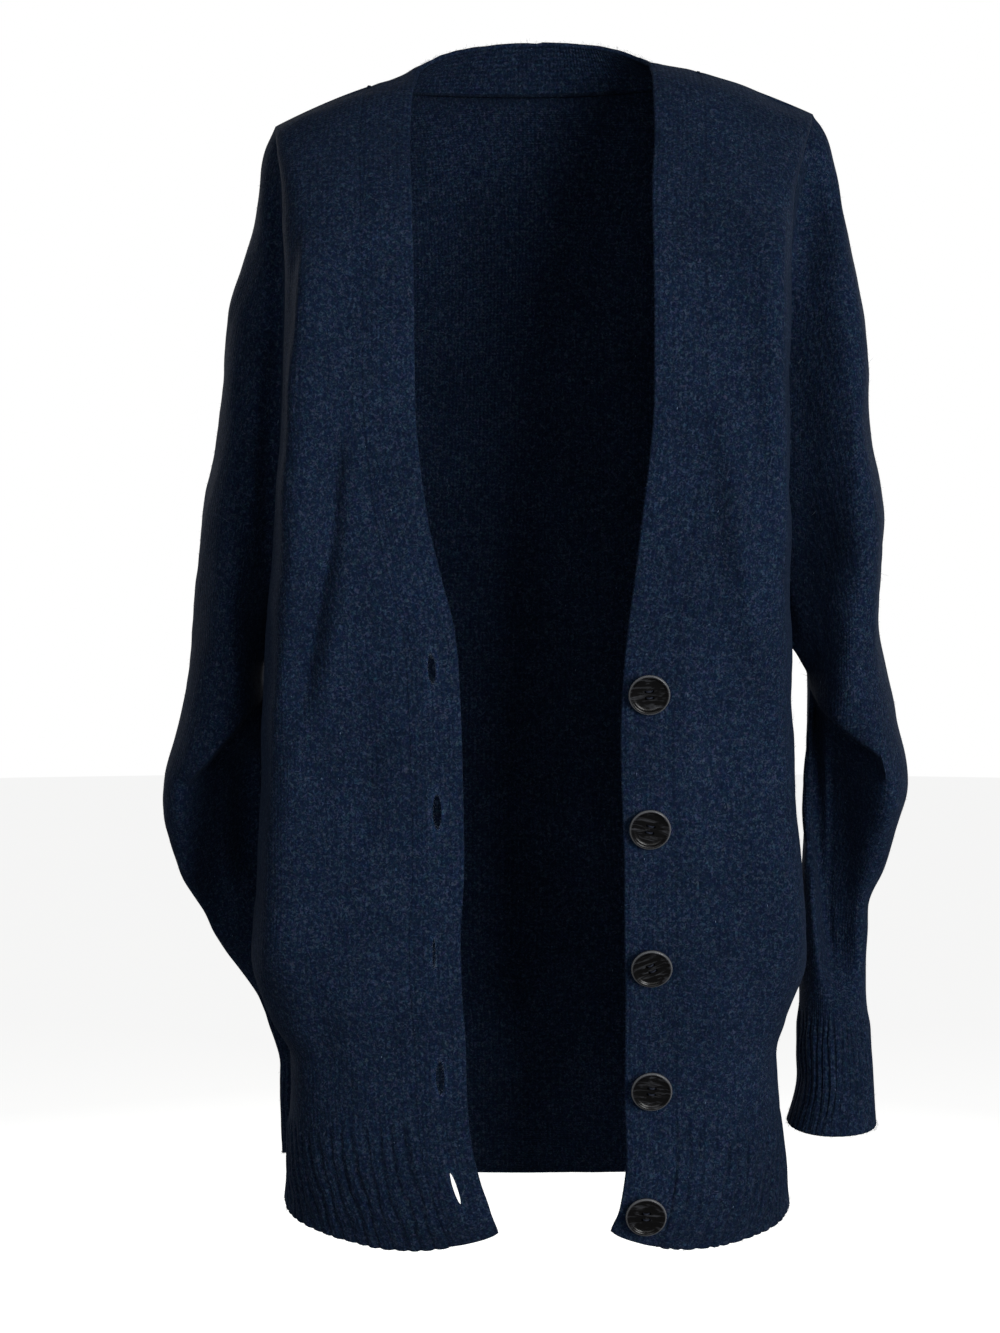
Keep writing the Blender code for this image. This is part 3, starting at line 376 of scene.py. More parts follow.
def row_lengths(curves):
    """Each row's whole length."""
    return along_rows(curves, np.zeros((len(curves), 1)))[1]


QUARTER = np.sin(np.linspace(0, math.pi / 2, 193)) ** 1.5 * math.pi / 2


def quarter_curve(fullness):
    """(sine, cosine) of a quarter superellipse, from the middle to the side."""
    power = 2 / fullness
    return np.sin(QUARTER) ** power, np.clip(np.cos(QUARTER), 0, 1) ** power


# ---------------------------------------------------------------- the body's surface


def front_rows(side, at):
    """Each row's curve from the free front edge round to the side seam or armhole: a quarter
    superellipse whose height drops towards the side and sags in between."""
    at = np.asarray(at, float)
    r = {name: value[:, None] for name, value in read_table(BODY_ROWS, at).items()}
    edge_x = r["left_edge_x"] if side == LEFT else r["right_edge_x"]
    side_x = r["left_side_x"] if side == LEFT else r["right_side_x"]
    lift = r["left_lift"] if side == LEFT else 0 * r["left_lift"]
    held_out = smooth_step((at - HEM_ROW) / HEM_ROWS)
    fullness = HEM_FULLNESS + (FRONT_FULLNESS - HEM_FULLNESS) * held_out
    across, towards = quarter_curve(fullness[:, None])
    drop = across**SHOULDER_DROP
    x = edge_x + (side_x - edge_x) * across
    y = r["front_side_y"] + (r["edge_y"] - r["front_side_y"]) * towards
    z = r["edge_z"] + (r["side_z"] - r["edge_z"]) * drop + lift
    z = z - r["sag"] * np.sin(math.pi * across**0.85)
    return points(x, y, z)


def fold_relief(folds, x, z):
    """The sum of the folds' rises: each fades across its width as a bell curve and at both its
    ends as smooth steps, so that one fold hands over to the next where their ends meet."""
    total = np.zeros(np.shape(x))
    for fold in folds:
        run = np.array([fold.x1 - fold.x0, fold.z1 - fold.z0], float)
        length = np.hypot(*run)
        run /= length
        along = (x - fold.x0) * run[0] + (z - fold.z0) * run[1]
        beside = (x - fold.x0) * run[1] - (z - fold.z0) * run[0]
        window = smooth_step(along / FOLD_END + 0.5)
        window = window * smooth_step((length - along) / FOLD_END + 0.5)
        width = np.where(beside > 0, fold.near, fold.far or fold.near)
        total += fold.rise * np.exp(-((beside / width) ** 2)) * window
    return total


def front_length(side, at):
    """Each row's whole length from the free edge to the side."""
    return row_lengths(front_rows(side, at))


def front_surface(side, at, run):
    """The front at each row and distance from its free edge, with every fold."""
    at, run = np.broadcast_arrays(np.asarray(at, float), np.asarray(run, float))
    curves = front_rows(side, at[:, 0])
    found, length = along_rows(curves, run)
    length = length[:, None]
    relief = fold_relief(FRONT_FOLDS + FRONT_CREASES, found[..., 0], found[..., 2])
    from_seam = (run - BAND_WIDTH) / SEAM_HOLD
    from_side = (length - run) / SIDE_HOLD
    found[..., 1] -= relief * smooth_step(from_seam) * smooth_step(from_side)
    return found


def back_rows(at):
    """Each row's curve from the right side or armhole round the back to the left one."""
    at = np.asarray(at, float)
    r = {name: value[:, None] for name, value in read_table(BODY_ROWS, at).items()}
    across, towards = quarter_curve(BACK_FULLNESS)
    across = np.concatenate([-across[::-1], across[1:]])
    towards = np.concatenate([towards[::-1], towards[1:]])
    middle = (r["right_side_x"] + r["left_side_x"]) / 2
    half = (r["left_side_x"] - r["right_side_x"]) / 2
    drop = np.abs(across) ** SHOULDER_DROP
    x = middle + half * across
    y = r["back_side_y"] + (r["back_y"] - r["back_side_y"]) * towards
    z = r["back_z"] + (r["side_z"] - r["back_z"]) * drop
    z = z + r["left_lift"] * np.clip(across, 0, 1)
    return points(x, y, z)


def shoulder_line(side, share):
    """The shoulder seam: share 0 is where the band's seam crosses it, 1 the sleeve's end."""
    curve = front_rows(side, [TOP])
    length = row_lengths(curve)[0]
    run = BAND_WIDTH + (length - BAND_WIDTH) * np.asarray(share, float)
    return along_rows(curve, run[None, :])[0][0]


def neck_seam(side, share):
    """The back neck seam: share 0 is the centre back and 1 the shoulder, a quarter ellipse."""
    corner = shoulder_line(side, [0.0])[0]
    top = BODY_ROWS[TOP]
    turn = np.asarray(share, float) * math.pi / 2
    x = corner[0] * np.sin(turn)
    y = corner[1] + (top.back_y - corner[1]) * np.cos(turn)
    z = corner[2] + (top.back_z - corner[2]) * np.cos(turn)
    return points(x, y, z)


def yoke_line(across):
    """The back's top edge: right shoulder seam, neck curve, left shoulder seam."""
    found = np.empty(across.shape + (3,))
    for side in (RIGHT, LEFT):
        here = across * side >= 0
        amount = np.abs(across[here])
        neck = neck_seam(side, np.clip(amount / NECK_SHARE, 0, 1))
        shoulder = shoulder_line(side, np.clip((amount - NECK_SHARE) / (1 - NECK_SHARE), 0, 1))
        found[here] = np.where((amount <= NECK_SHARE)[:, None], neck, shoulder)
    return found


def back_surface(at, across):
    """The back at each row and each place across, from -1 at the right seam to 1 at the left:
    the rounded section, which turns into the neck and shoulder line above the yoke's start."""
    at, across = np.broadcast_arrays(np.asarray(at, float), np.asarray(across, float))
    curves = back_rows(at[:, 0])
    length = row_lengths(curves)[:, None]
    section = along_rows(curves, (across + 1) / 2 * length)[0]
    share = smooth_step((at - YOKE_START) / (TOP - YOKE_START))[..., None]
    found = section * (1 - share) + yoke_line(across) * share
    outside = smooth_step((np.abs(across) - NECK_SHARE) / (1 - NECK_SHARE))[..., None]
    for side, ends in ((RIGHT, curves[:, :1]), (LEFT, curves[:, -1:])):
        here = outside * (across * side > 0)[..., None]
        found += share * here * (ends - shoulder_line(side, [1.0])[0])
    relief = fold_relief(BACK_FOLDS + BACK_CREASES, found[..., 0], found[..., 2])
    found[..., 1] += relief * smooth_step((1 - np.abs(across)) / 0.12)
    return found


# ---------------------------------------------------------------- the sleeves' surface


def armhole(side, turn):
    """The armhole's loop: turn 0 is the shoulder, half a circle the underarm, by the front."""
    rows_down = (TOP - UNDERARM) * (1 - np.cos(turn)) / 2
    r = read_table(BODY_ROWS, TOP - rows_down)
    x = r["left_side_x"] if side == LEFT else r["right_side_x"]
    by_front = np.sin(turn) >= 0
    y = np.where(by_front, r["front_side_y"], r["back_side_y"])
    z = r["side_z"] + (r["left_lift"] if side == LEFT else 0)
    return points(x + side * ARMHOLE_STEP, y, z)


def superellipse(turn):
    """(cosine, sine) of a slightly squared circle."""
    power = 2 / SLEEVE_FULLNESS
    sine, cosine = np.sin(turn), np.cos(turn)
    return np.sign(cosine) * np.abs(cosine) ** power, np.sign(sine) * np.abs(sine) ** power


def sleeve_section(side, turn):
    """The first ring's own superellipse, before it is bent to the armhole."""
    r = SLEEVES[side][0]
    cosine, sine = superellipse(turn)
    x = (r.outer_x + r.inner_x) / 2 + cosine * (r.outer_x - r.inner_x) / 2
    y = (r.outer_y + r.inner_y) / 2 + cosine * (r.outer_y - r.inner_y) / 2
    z = (r.outer_z + r.inner_z) / 2 + cosine * (r.outer_z - r.inner_z) / 2
    return points(x, y - sine * r.reach, z)


def elbow_roll(side, found, facing):
    """Moves the front half of the sleeve into the elbow's roll. With s the drop below the roll's
    line, the cloth swells forward above it, droops by a bell curve about it so that it hangs over,
    steps back just below it and comes forward again over the fade. The pleat is a bell-shaped
    groove across its drifting line."""
    fold = ELBOWS[side]
    lip = np.array(fold.lip, float)
    x, z = found[..., 0], found[..., 2]
    line = np.interp(x * side, lip[:, 0] * side, lip[:, 1]) + fold.droop
    s = line - z
    past = (x * side - abs(lip[-1, 0]) + 16) / 26
    before = (abs(lip[0, 0]) - x * side) / 12
    hold = (1 - smooth_step(past)) * (1 - smooth_step(before)) * smooth_step(facing * 1.7)
    fading = np.exp(-((np.maximum(s - 14, 0) / fold.fade) ** 2))
    step = smooth_step((s + 1) / 11) * fading
    swell = np.exp(-(((s + 11) / 17) ** 2))
    droop = np.exp(-(((s - 0.5) / 6.4) ** 2))
    pleat = np.array(fold.pleat, float)
    centre = np.interp(-z, -pleat[:, 1], pleat[:, 0])
    upright = smooth_step((pleat[0, 1] - z) / 16) * smooth_step((z - pleat[-1, 1]) / 50)
    crease = np.exp(-(((x - centre) / fold.pleat_half_width) ** 2)) * upright
    held = smooth_step(facing * 1.7)
    found[..., 1] += (fold.step_back * step - fold.swell * swell) * hold
    found[..., 1] += fold.pleat_in * crease * held
    found[..., 2] -= fold.droop * droop * hold


def sleeve_surface(side, ring, turn):
    """The sleeve at each ring number and turn round it: a superellipse that spans the outer and
    inner lines one way and the reach the other, meets the armhole's loop at ring 0, and carries
    the sleeve's folds and the elbow's roll."""
    ring, turn = np.broadcast_arrays(np.asarray(ring, float), np.asarray(turn, float))
    r = read_table(SLEEVES[side], ring)
    outer = points(r["outer_x"], r["outer_y"], r["outer_z"])
    inner = points(r["inner_x"], r["inner_y"], r["inner_z"])
    swing = np.radians(r["turn"])
    front = r["reach"][..., None] * points(side * np.sin(swing), -np.cos(swing), 0 * swing)
    cosine, sine = superellipse(turn)
    middle, half = (outer + inner) / 2, (outer - inner) / 2
    found = middle + cosine[..., None] * half + sine[..., None] * front
    share = (1 - smooth_step(ring / ARMHOLE_BLEND))[..., None]
    found = found + share * (armhole(side, turn) - sleeve_section(side, turn))
    facing = np.sin(turn)
    clear = smooth_step(ring / 0.4) * smooth_step((CUFF_END - ring) / 1.5)
    away = unit(front)
    for face in (1, -1):
        folds = [Fold(*fold[1:]) for fold in SLEEVE_FOLDS[side] if fold.face == face]
        relief = fold_relief(folds, found[..., 0], found[..., 2])
        relief = relief * clear * smooth_step(face * facing * 1.8)
        found += face * away * relief[..., None]
    elbow_roll(side, found, facing)
    from_top = np.abs((turn + math.pi) % math.tau - math.pi)
    cap = CAP_RISE[side] * np.exp(-(((ring - 0.5) / 0.42) ** 2) - (from_top / 0.8) ** 2)
    cap = cap * smooth_step(ring / 0.3)
    return found + cap[..., None] * (0.8 * side, 0, 0.6)


# ---------------------------------------------------------------- the front band's surface


def band_surface(side, path, width):
    """The band: path 0 to TOP climbs the front, TOP to TOP + 1 goes on round the back neck to
    the centre on quarter ellipses. width is the distance from the free edge."""
    path, width = np.broadcast_arrays(np.asarray(path, float), np.asarray(width, float))
    found = np.empty(path.shape + (3,))
    on_front = path[:, 0] <= TOP
    if on_front.any():
        found[on_front] = front_surface(side, path[on_front], width[on_front])
    if not on_front.all():
        turn = (path[~on_front] - TOP) * math.pi / 2
        start = front_rows(side, [TOP])[0, 0]
        free_x = start[0] * np.cos(turn) ** 0.85
        free_y = start[1] + (NECK_BACK_DEPTH - start[1]) * np.sin(turn) ** 0.9
        free_z = start[2] + (NECK_BACK_RISE - start[2]) * np.sin(turn)
        free = points(free_x, free_y, free_z)
        seam = neck_seam(side, TOP + 1 - path[~on_front])
        share = (width[~on_front] / BAND_WIDTH)[..., None]
        found[~on_front] = free + (seam - free) * share
        bow = 2.0 * np.sin(turn) * np.sin(share[..., 0] * math.pi)
        found[~on_front, :, 1] += bow
    return found


# ---------------------------------------------------------------- relief and walls


def grid_normals(grid, wraps, outward):
    """Unit normals of a grid of points: the cross product of its steps along rows and columns."""
    by_row = np.gradient(grid, axis=0)
    if wraps:
        by_column = (np.roll(grid, -1, axis=1) - np.roll(grid, 1, axis=1)) / 2
    else:
        by_column = np.gradient(grid, axis=1)
    return outward * unit(np.cross(by_row, by_column))


def slack_waves(place, seed, sizes):
    """The cloth's slight unevenness: for each (wavelength, height), the mean of six sines of the
    place along directions picked from the seed."""
    rng = np.random.default_rng(seed)
    total = np.zeros(place.shape[:-1])
    for wavelength, height in sizes:
        for _ in range(6):
            direction = unit(rng.normal(size=3)) * math.tau / wavelength
            total += height / 2.4 * np.sin(place @ direction + rng.uniform(0, math.tau))
    return total


def relaxed(grid, wraps, rounds):
    """The grid with each inner point moved to a quarter, half, quarter mean of its neighbours."""
    grid = grid.copy()
    for _ in range(rounds):
        grid[1:-1] = (grid[:-2] + 2 * grid[1:-1] + grid[2:]) / 4
        if wraps:
            grid = (np.roll(grid, 1, axis=1) + 2 * grid + np.roll(grid, -1, axis=1)) / 4
        else:
            grid[:, 1:-1] = (grid[:, :-2] + 2 * grid[:, 1:-1] + grid[:, 2:]) / 4
    return grid


def rib_relief(phase):
    """1 on a rib's broad ridge and 0 in the narrow groove at each whole phase."""
    from_groove = np.abs(phase - np.round(phase))
    ridge = 1 - np.exp(-((from_groove / 0.2) ** 2))
    return ridge * (1 - 0.10 * np.exp(-(((from_groove - 0.5) / 0.10) ** 2)))


EDGE_STEPS = 4
# The fourth field holds a value per point that the shader turns into colour: painted shade in rib
# grooves and along seams, and a lighter ring round each buttonhole.
Wall = namedtuple("Wall", "outer inner knit relief wraps bulges")


def border_loops(rows, columns, wraps):
    """The wall's border as loops of (row, column, away) in the order in which the outer faces run
    round it. away is 0 for the first row, 1 the last column, 2 the last row, 3 the first column."""
    across = np.arange(columns)
    if wraps:
        first = (np.zeros(columns, int), across, np.zeros(columns, int))
        last = (np.full(columns, rows - 1), across[::-1], np.full(columns, 2))
        return [first, last]
    up = np.arange(1, rows)
    row = np.concatenate([0 * across, up, 0 * across[:-1] + rows - 1, up[-2::-1]])
    column = np.concatenate([across, 0 * up + columns - 1, across[-2::-1], 0 * up[1:]])
    away = np.concatenate([0 * across, 0 * up + 1, 0 * across[1:] + 2, 0 * up[1:] + 3])
    return [(row, column, away)]


def cloth_mesh(name, wall):
    """One closed cloth wall. The outer and the inner grid are joined all round their border by
    half an ellipse as deep as that border's bulge, and the knit map runs on round it."""
    rows, columns = wall.outer.shape[:2]
    count = rows * columns
    spots = [wall.outer.reshape(-1, 3), wall.inner.reshape(-1, 3)]
    relief = [wall.relief.ravel(), np.zeros(count)]
    step = np.arange(columns if wall.wraps else columns - 1)
    after = (step + 1) % columns
    base = np.arange(rows - 1)[:, None] * columns
    quads = np.stack([base + step, base + after, base + columns + after, base + columns + step], -1)
    knit = wall.knit
    u_row = np.arange(rows - 1)[:, None]
    below, above = knit[u_row, step], knit[u_row + 1, step]
    corners = np.stack([below, knit[u_row, step + 1], knit[u_row + 1, step + 1], above], -2)
    faces = [quads.reshape(-1, 4), count + quads.reshape(-1, 4)[:, ::-1]]
    maps = [corners.reshape(-1, 4, 2), corners.reshape(-1, 4, 2)[:, ::-1]]
    slots = [np.zeros(len(faces[0]), int), np.ones(len(faces[1]), int)]
    outward = [
        unit(wall.outer[0] - wall.outer[1]),
        unit(wall.outer[:, -1] - wall.outer[:, -2]),
        unit(wall.outer[-1] - wall.outer[-2]),
        unit(wall.outer[:, 0] - wall.outer[:, 1]),
    ]
    map_out = np.array([(0, -1), (1, 0), (0, 1), (-1, 0)], float)
    total = 2 * count
    for row, column, away in border_loops(rows, columns, wall.wraps):
        place = np.where(away % 2 == 0, column, row)
        push = np.empty((len(row), 3))
        for k in range(4):
            here = away == k
            push[here] = outward[k][place[here]]
        if not wall.wraps:
            # A corner is pushed both ways.
            for corner, other in ((0, 3), (columns - 1, 1)):
                push[corner] = unit(push[corner] + outward[other][0])
            for corner, other in ((columns + rows - 2, 2), (2 * columns + rows - 3, 3)):
                spot = column[corner] if other == 2 else -1
                push[corner] = unit(push[corner] + outward[other][spot])
        bulge = np.array(wall.bulges)[away][:, None]
        out_ids = row * columns + column
        start, end = wall.outer[row, column], wall.inner[row, column]
        middle, half = (start + end) / 2, (start - end) / 2
        layers = [out_ids]
        for k in range(1, EDGE_STEPS + 1):
            turn = math.pi * k / (EDGE_STEPS + 1)
            spots.append(middle + half * math.cos(turn) + push * bulge * math.sin(turn))
            relief.append(np.zeros(len(row)))
            layers.append(total + np.arange(len(row)))
            total += len(row)
        layers.append(count + out_ids)
        here = knit[row, column]
        depth = np.linalg.norm(half, axis=-1, keepdims=True) * MM
        for k in range(len(layers) - 1):
            near, far = layers[k], layers[k + 1]
            near_map = here + map_out[away] * depth * k / 2
            far_map = here + map_out[away] * depth * (k + 1) / 2
            ahead = np.roll(np.arange(len(row)), -1)
            faces.append(np.stack([near[ahead], near, far, far[ahead]], -1))
            maps.append(np.stack([near_map[ahead], near_map, far_map, far_map[ahead]], -2))
            slots.append(np.zeros(len(row), int))
    spots = np.concatenate(spots)
    faces = np.concatenate(faces)
    maps = np.concatenate(maps)
    first, second, third, fourth = (spots[faces[:, k]] for k in range(4))
    turned = np.cross(third - first, fourth - second)
    if (turned * (first + second + third + fourth)).sum() < 0:
        faces, maps = faces[:, ::-1], maps[:, ::-1]
    return new_mesh(name, spots, faces, np.concatenate(slots), maps, np.concatenate(relief))


def new_mesh(name, spots, faces, slots=None, maps=None, relief=None, sharp=55):
    """A mesh of equal-sided faces from whole arrays, in metres, smooth but for sharp turns."""
    mesh = bpy.data.meshes.new(name)
    sides = faces.shape[1]
    mesh.vertices.add(len(spots))
    mesh.vertices.foreach_set("co", (spots * MM).astype(np.float32).ravel())
    mesh.loops.add(faces.size)
    mesh.loops.foreach_set("vertex_index", faces.astype(np.int32).ravel())
    mesh.polygons.add(len(faces))
    mesh.polygons.foreach_set("loop_start", np.arange(0, faces.size, sides, dtype=np.int32))
    if slots is not None:
        mesh.polygons.foreach_set("material_index", slots.astype(np.int32))
    mesh.update(calc_edges=True)
    if maps is not None:
        layer = mesh.uv_layers.new(name="knit")
        layer.data.foreach_set("uv", maps.astype(np.float32).ravel())
    if relief is not None:
        attribute = mesh.attributes.new("relief", "FLOAT", "POINT")
        attribute.data.foreach_set("value", relief.astype(np.float32))
    mesh.shade_smooth()
    mesh.set_sharp_from_angle(angle=math.radians(sharp))
    return mesh


def place_piece(mesh, materials, nodes):
    """The piece as an object at the origin that rides on the frame and stands for its nodes."""
    piece = bpy.data.objects.new(mesh.name, mesh)
    for material in materials:
        mesh.materials.append(material)
    bpy.context.scene.collection.objects.link(piece)
    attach(piece, "root")
    if nodes:
        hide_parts(*nodes)
    return piece


# ---------------------------------------------------------------- the pieces' cloth


def body_heights(side_rows):
    """How far up the cloth each row of the body table lies, in millimetres from the hem: the run
    along the middle of the right front."""
    fine = np.linspace(0, TOP, 341)
    middle = front_rows(RIGHT, fine)[:, 60]
    step = np.linalg.norm(np.diff(middle, axis=0), axis=1)
    return np.interp(side_rows, fine, np.concatenate([[0], np.cumsum(step)]))


def even_rows(low, high, count):
    """Row numbers between two rows, spaced evenly over the cloth."""
    fine = np.linspace(low, high, 801)
    heights = body_heights(fine)
    wanted = np.linspace(heights[0], heights[-1], count)
    found = np.interp(wanted, heights, fine)
    found[0], found[-1] = low, high
    return found


# Slack waves as (wavelength, height).
BODY_WAVES = [(110, 1.0), (62, 0.5), (34, 0.2), (17, 0.12)]
SLEEVE_WAVES = [(110, 0.9), (60, 0.4), (30, 0.15), (16, 0.1)]
BAND_WAVES = [(26, 0.5), (11, 0.22)]
WAVE_SEED = 5
RIB_ROWS, PANEL_ROWS, FRONT_COLUMNS = 46, 196, 58  # lines of points in a front
SEAM_DIP, SEAM_DIP_WIDTH = 0.15, 2.6  # how far the cloth is drawn in beside a sewn seam
SEAM_SHADE, SEAM_SHADE_WIDTH = 0.3, 1.2  # the part of a groove's shade along a milled-over seam
SEAM_LAP, SEAM_TUCK = 0.8, 0.4  # how far the front runs on under the band's edge, and how deep


def seam_dip(distance):
    """The dip beside a sewn seam, which fades over a few millimetres."""
    return SEAM_DIP * np.exp(-((distance / SEAM_DIP_WIDTH) ** 2))


def seam_shade(distance):
    """The shade along it, which fades sooner."""
    return SEAM_SHADE * np.exp(-((distance / SEAM_SHADE_WIDTH) ** 2))


def front_cloth(side, at, run, knit):
    """The front's outer surface: its folds, slack waves, and a dip at its seams."""
    plain = front_surface(side, at, run)
    facing = grid_normals(plain, False, -side)
    length = front_length(side, at[:, 0])[:, None]
    hold = smooth_step((length - run) / 30)
    waves = slack_waves(plain, WAVE_SEED, BODY_WAVES) * knit.slackness * hold
    dip = seam_dip(run - BAND_WIDTH) + seam_dip(length - run)
    return plain + facing * (waves - dip)[..., None]


def make_wall(outer, plain, outward, knit, maps, relief, wraps, bulges):
    """A wall whose inside is the plain surface moved in by the cloth's thickness and relaxed."""
    facing = grid_normals(plain, wraps, outward)
    inner = relaxed(plain - facing * knit.wall / MM, wraps, 3)
    return Wall(outer, inner, maps * MM, relief, wraps, bulges)


def front_steps():
    """The rows of the rib and of the panel above it, which the band beside them shares."""
    return even_rows(0, RIB_TOP, RIB_ROWS), even_rows(RIB_TOP, TOP, PANEL_ROWS)


def front_panel(side, knit):
    """One front above its rib, from under the band's edge to the side seam and armhole."""
    at = front_steps()[1][:, None]
    shares = np.linspace(0, 1, FRONT_COLUMNS)
    length = front_length(side, at[:, 0])[:, None]
    start = BAND_WIDTH - SEAM_LAP
    run = start + (length - start) * shares
    at = at + 0 * run
    outer = front_cloth(side, at, run, knit)
    tuck = SEAM_TUCK * np.exp(-(((run - start) / SEAM_LAP) ** 2))
    outer = outer - grid_normals(outer, False, -side) * tuck[..., None]
    relief = seam_shade(run - BAND_WIDTH)
    maps = np.stack([side * run, body_heights(at)], -1)
    return make_wall(outer, outer, -side, knit, maps, -relief, False, (0, 0.1, 0.1, 0.1))


def rib_wander(phase, height, seed):
    """Whole ribs wander a little to each side on their way up, each by its own sines."""
    rng = np.random.default_rng(seed)
    total = 0.0
    for wavelength, share in ((70, 0.10), (31, 0.06), (13, 0.035)):
        total = total + share * np.sin(
            height * math.tau / wavelength + 1.7 * phase + rng.uniform(0, math.tau)
        )
    return total


def rib_fade(phase, height, top, seed):
    """The ribs set in over about 16 mm below a ragged line that differs from rib to rib."""
    rng = np.random.default_rng(seed)
    start = top - 2 - 7 * rng.random(400)
    here = np.interp(phase, np.arange(400) + 0.5, start)
    return smooth_step((here - height) / 15)


def rib_wear(phase, height, seed):
    """How strongly each rib stands: they are milled flat in places, most near the free end."""
    rng = np.random.default_rng(seed)
    share = np.interp(phase, np.arange(400) + 0.5, rng.uniform(0.55, 1.0, 400))
    drift = 0.16 * np.sin(height * math.tau / 43 + 2.1 * np.sin(phase * 0.9) + rng.uniform(0, 6))
    return (share + drift) * (1 - 0.35 * np.exp(-((height / 22) ** 2)))


def rib_wall(plain, outward, phase, height, top, seed, knit, maps, wraps, bulges):
    """A ribbed wall: broad ridges and narrow grooves stand on the plain surface's normals, set in
    below a ragged line, and scallop the free end."""
    facing = grid_normals(plain, wraps, outward)
    ribs = rib_relief(phase + rib_wander(phase, height, seed))
    fade = rib_fade(phase, height, top, seed + 1) * rib_wear(phase, height, seed + 2)
    depth = knit.rib_depth / MM
    rise = (ribs * 0.72 - (1 - ribs) * 0.28) * depth * fade
    outer = plain + facing * rise[..., None]
    outer[..., 2] -= 0.35 * ribs * np.exp(-((height / 7) ** 2))
    # Painted shade: the colour value is lowest in each rib's groove, so the groove is painted
    # darker.
    return make_wall(outer, plain, outward, knit, maps, (ribs - 1) * fade * 0.6, wraps, bulges)


def front_rib(side, knit):
    """The ribbed hem below one front, with as many whole ribs as fit beside the band."""
    length = front_length(side, [0.0])[0]
    count = round((length - BAND_WIDTH) / (knit.rib_pitch / MM))
    at = front_steps()[0][:, None]
    shares = np.linspace(0, 1, 10 * count + 1)
    lengths = front_length(side, at[:, 0])[:, None]
    run = BAND_WIDTH + (lengths - BAND_WIDTH) * shares
    at = at + 0 * run
    plain = front_cloth(side, at, run, knit)
    height = body_heights(at)
    maps = np.stack([side * run, height], -1)
    phase = shares * count + 0 * run
    top = body_heights(RIB_TOP)
    edge = knit.edge_roll / MM
    return rib_wall(
        plain, -side, phase, height, top, 20 + side, knit, maps, False, (edge, 0.1, 0, 0.1)
    )


BACK_SPAN = 232.0  # half the back's width in the knit map
BACK_MAP = 600.0  # where its middle lies there, clear of the fronts


def back_cloth(at, across, knit):
    """The back's outer surface: its folds, slack waves, and a dip at the side seams."""
    plain = back_surface(at, across)
    facing = grid_normals(plain, False, 1)
    from_side = (1 - np.abs(across)) * BACK_SPAN
    waves = slack_waves(plain, WAVE_SEED + 1, BODY_WAVES) * 1.3 * knit.slackness
    waves = waves * smooth_step(from_side / 30) * smooth_step((TOP - at) / 1.5)
    return plain + facing * (waves - seam_dip(from_side))[..., None]


def back_panel(knit):
    """The back above its rib, with its columns closest together over the shoulders."""
    at = even_rows(RIB_TOP, TOP, 182)[:, None]
    half = np.concatenate([np.linspace(0, NECK_SHARE, 43), np.linspace(NECK_SHARE, 1, 24)[1:]])
    across = np.concatenate([-half[:0:-1], half])[None, :] + 0 * at
    at = at + 0 * across
    outer = back_cloth(at, across, knit)
    from_side = (1 - np.abs(across)) * BACK_SPAN
    relief = seam_shade(from_side)
    maps = np.stack([BACK_MAP + across * BACK_SPAN, body_heights(at)], -1)
    return make_wall(outer, outer, 1, knit, maps, -relief, False, (0, 0.1, 0.1, 0.1))


def back_rib(knit):
    """The ribbed hem below the back."""
    length = row_lengths(back_rows([0.0]))[0]
    count = round(length / (knit.rib_pitch / MM))
    at = even_rows(0, RIB_TOP, 38)[:, None]
    across = np.linspace(-1, 1, 9 * count + 1)[None, :] + 0 * at
    at = at + 0 * across
    plain = back_cloth(at, across, knit)
    height = body_heights(at)
    maps = np.stack([BACK_MAP + across * BACK_SPAN, height], -1)
    phase = (across + 1) / 2 * count
    top = body_heights(RIB_TOP)
    edge = knit.edge_roll / MM
    return rib_wall(plain, 1, phase, height, top, 31, knit, maps, False, (edge, 0.1, 0, 0.1))


SLEEVE_SPAN = 270.0  # a sleeve's width in the knit map
SLEEVE_MAP, SLEEVE_MAP_STEP = 1400.0, 300.0  # where the sleeves lie in it, clear of all else


def sleeve_heights(side, ring):
    """How far down the sleeve each ring lies, in millimetres along its middle."""
    fine = np.linspace(0, CUFF_END, 281)
    r = read_table(SLEEVES[side], fine)
    middle = points(
        (r["outer_x"] + r["inner_x"]) / 2,
        (r["outer_y"] + r["inner_y"]) / 2,
        (r["outer_z"] + r["inner_z"]) / 2,
    )
    step = np.linalg.norm(np.diff(middle, axis=0), axis=1)
    return np.interp(ring, fine, np.concatenate([[0], np.cumsum(step)]))


def sleeve_cloth(side, ring, turn, knit):
    """The sleeve's outer surface: its folds and roll, and slack waves that fade at the armhole."""
    plain = sleeve_surface(side, ring, turn)
    facing = grid_normals(plain, True, -side)
    hold = smooth_step(ring / 0.9) * smooth_step((CUFF_END + 0.6 - ring) / 2)
    waves = slack_waves(plain, WAVE_SEED + 3 + side, SLEEVE_WAVES) * 1.2 * knit.slackness * hold
    dip = seam_dip(sleeve_heights(side, ring)) + seam_dip((turn - math.pi) * 40)
    return plain + facing * (waves - dip)[..., None]


def sleeve_maps(side, turns, down):
    """The knit map of a sleeve's rings: round it across, and down it with its middle line."""
    share = np.append(turns / math.tau, 1.0)
    across = SLEEVE_MAP + side * SLEEVE_MAP_STEP + share * SLEEVE_SPAN
    return np.stack(np.broadcast_arrays(across, -down[:, :1]), -1)


def sleeve_turns():
    """Columns round a sleeve, closest together on the inner half of its front, where the elbow's
    roll and the pleat are narrow."""
    return np.concatenate(
        [
            np.linspace(0, 0.42, 30, endpoint=False),
            np.linspace(0.42, 1, 54, endpoint=False),
            np.linspace(1, 2, 52, endpoint=False),
        ]
    ) * math.pi


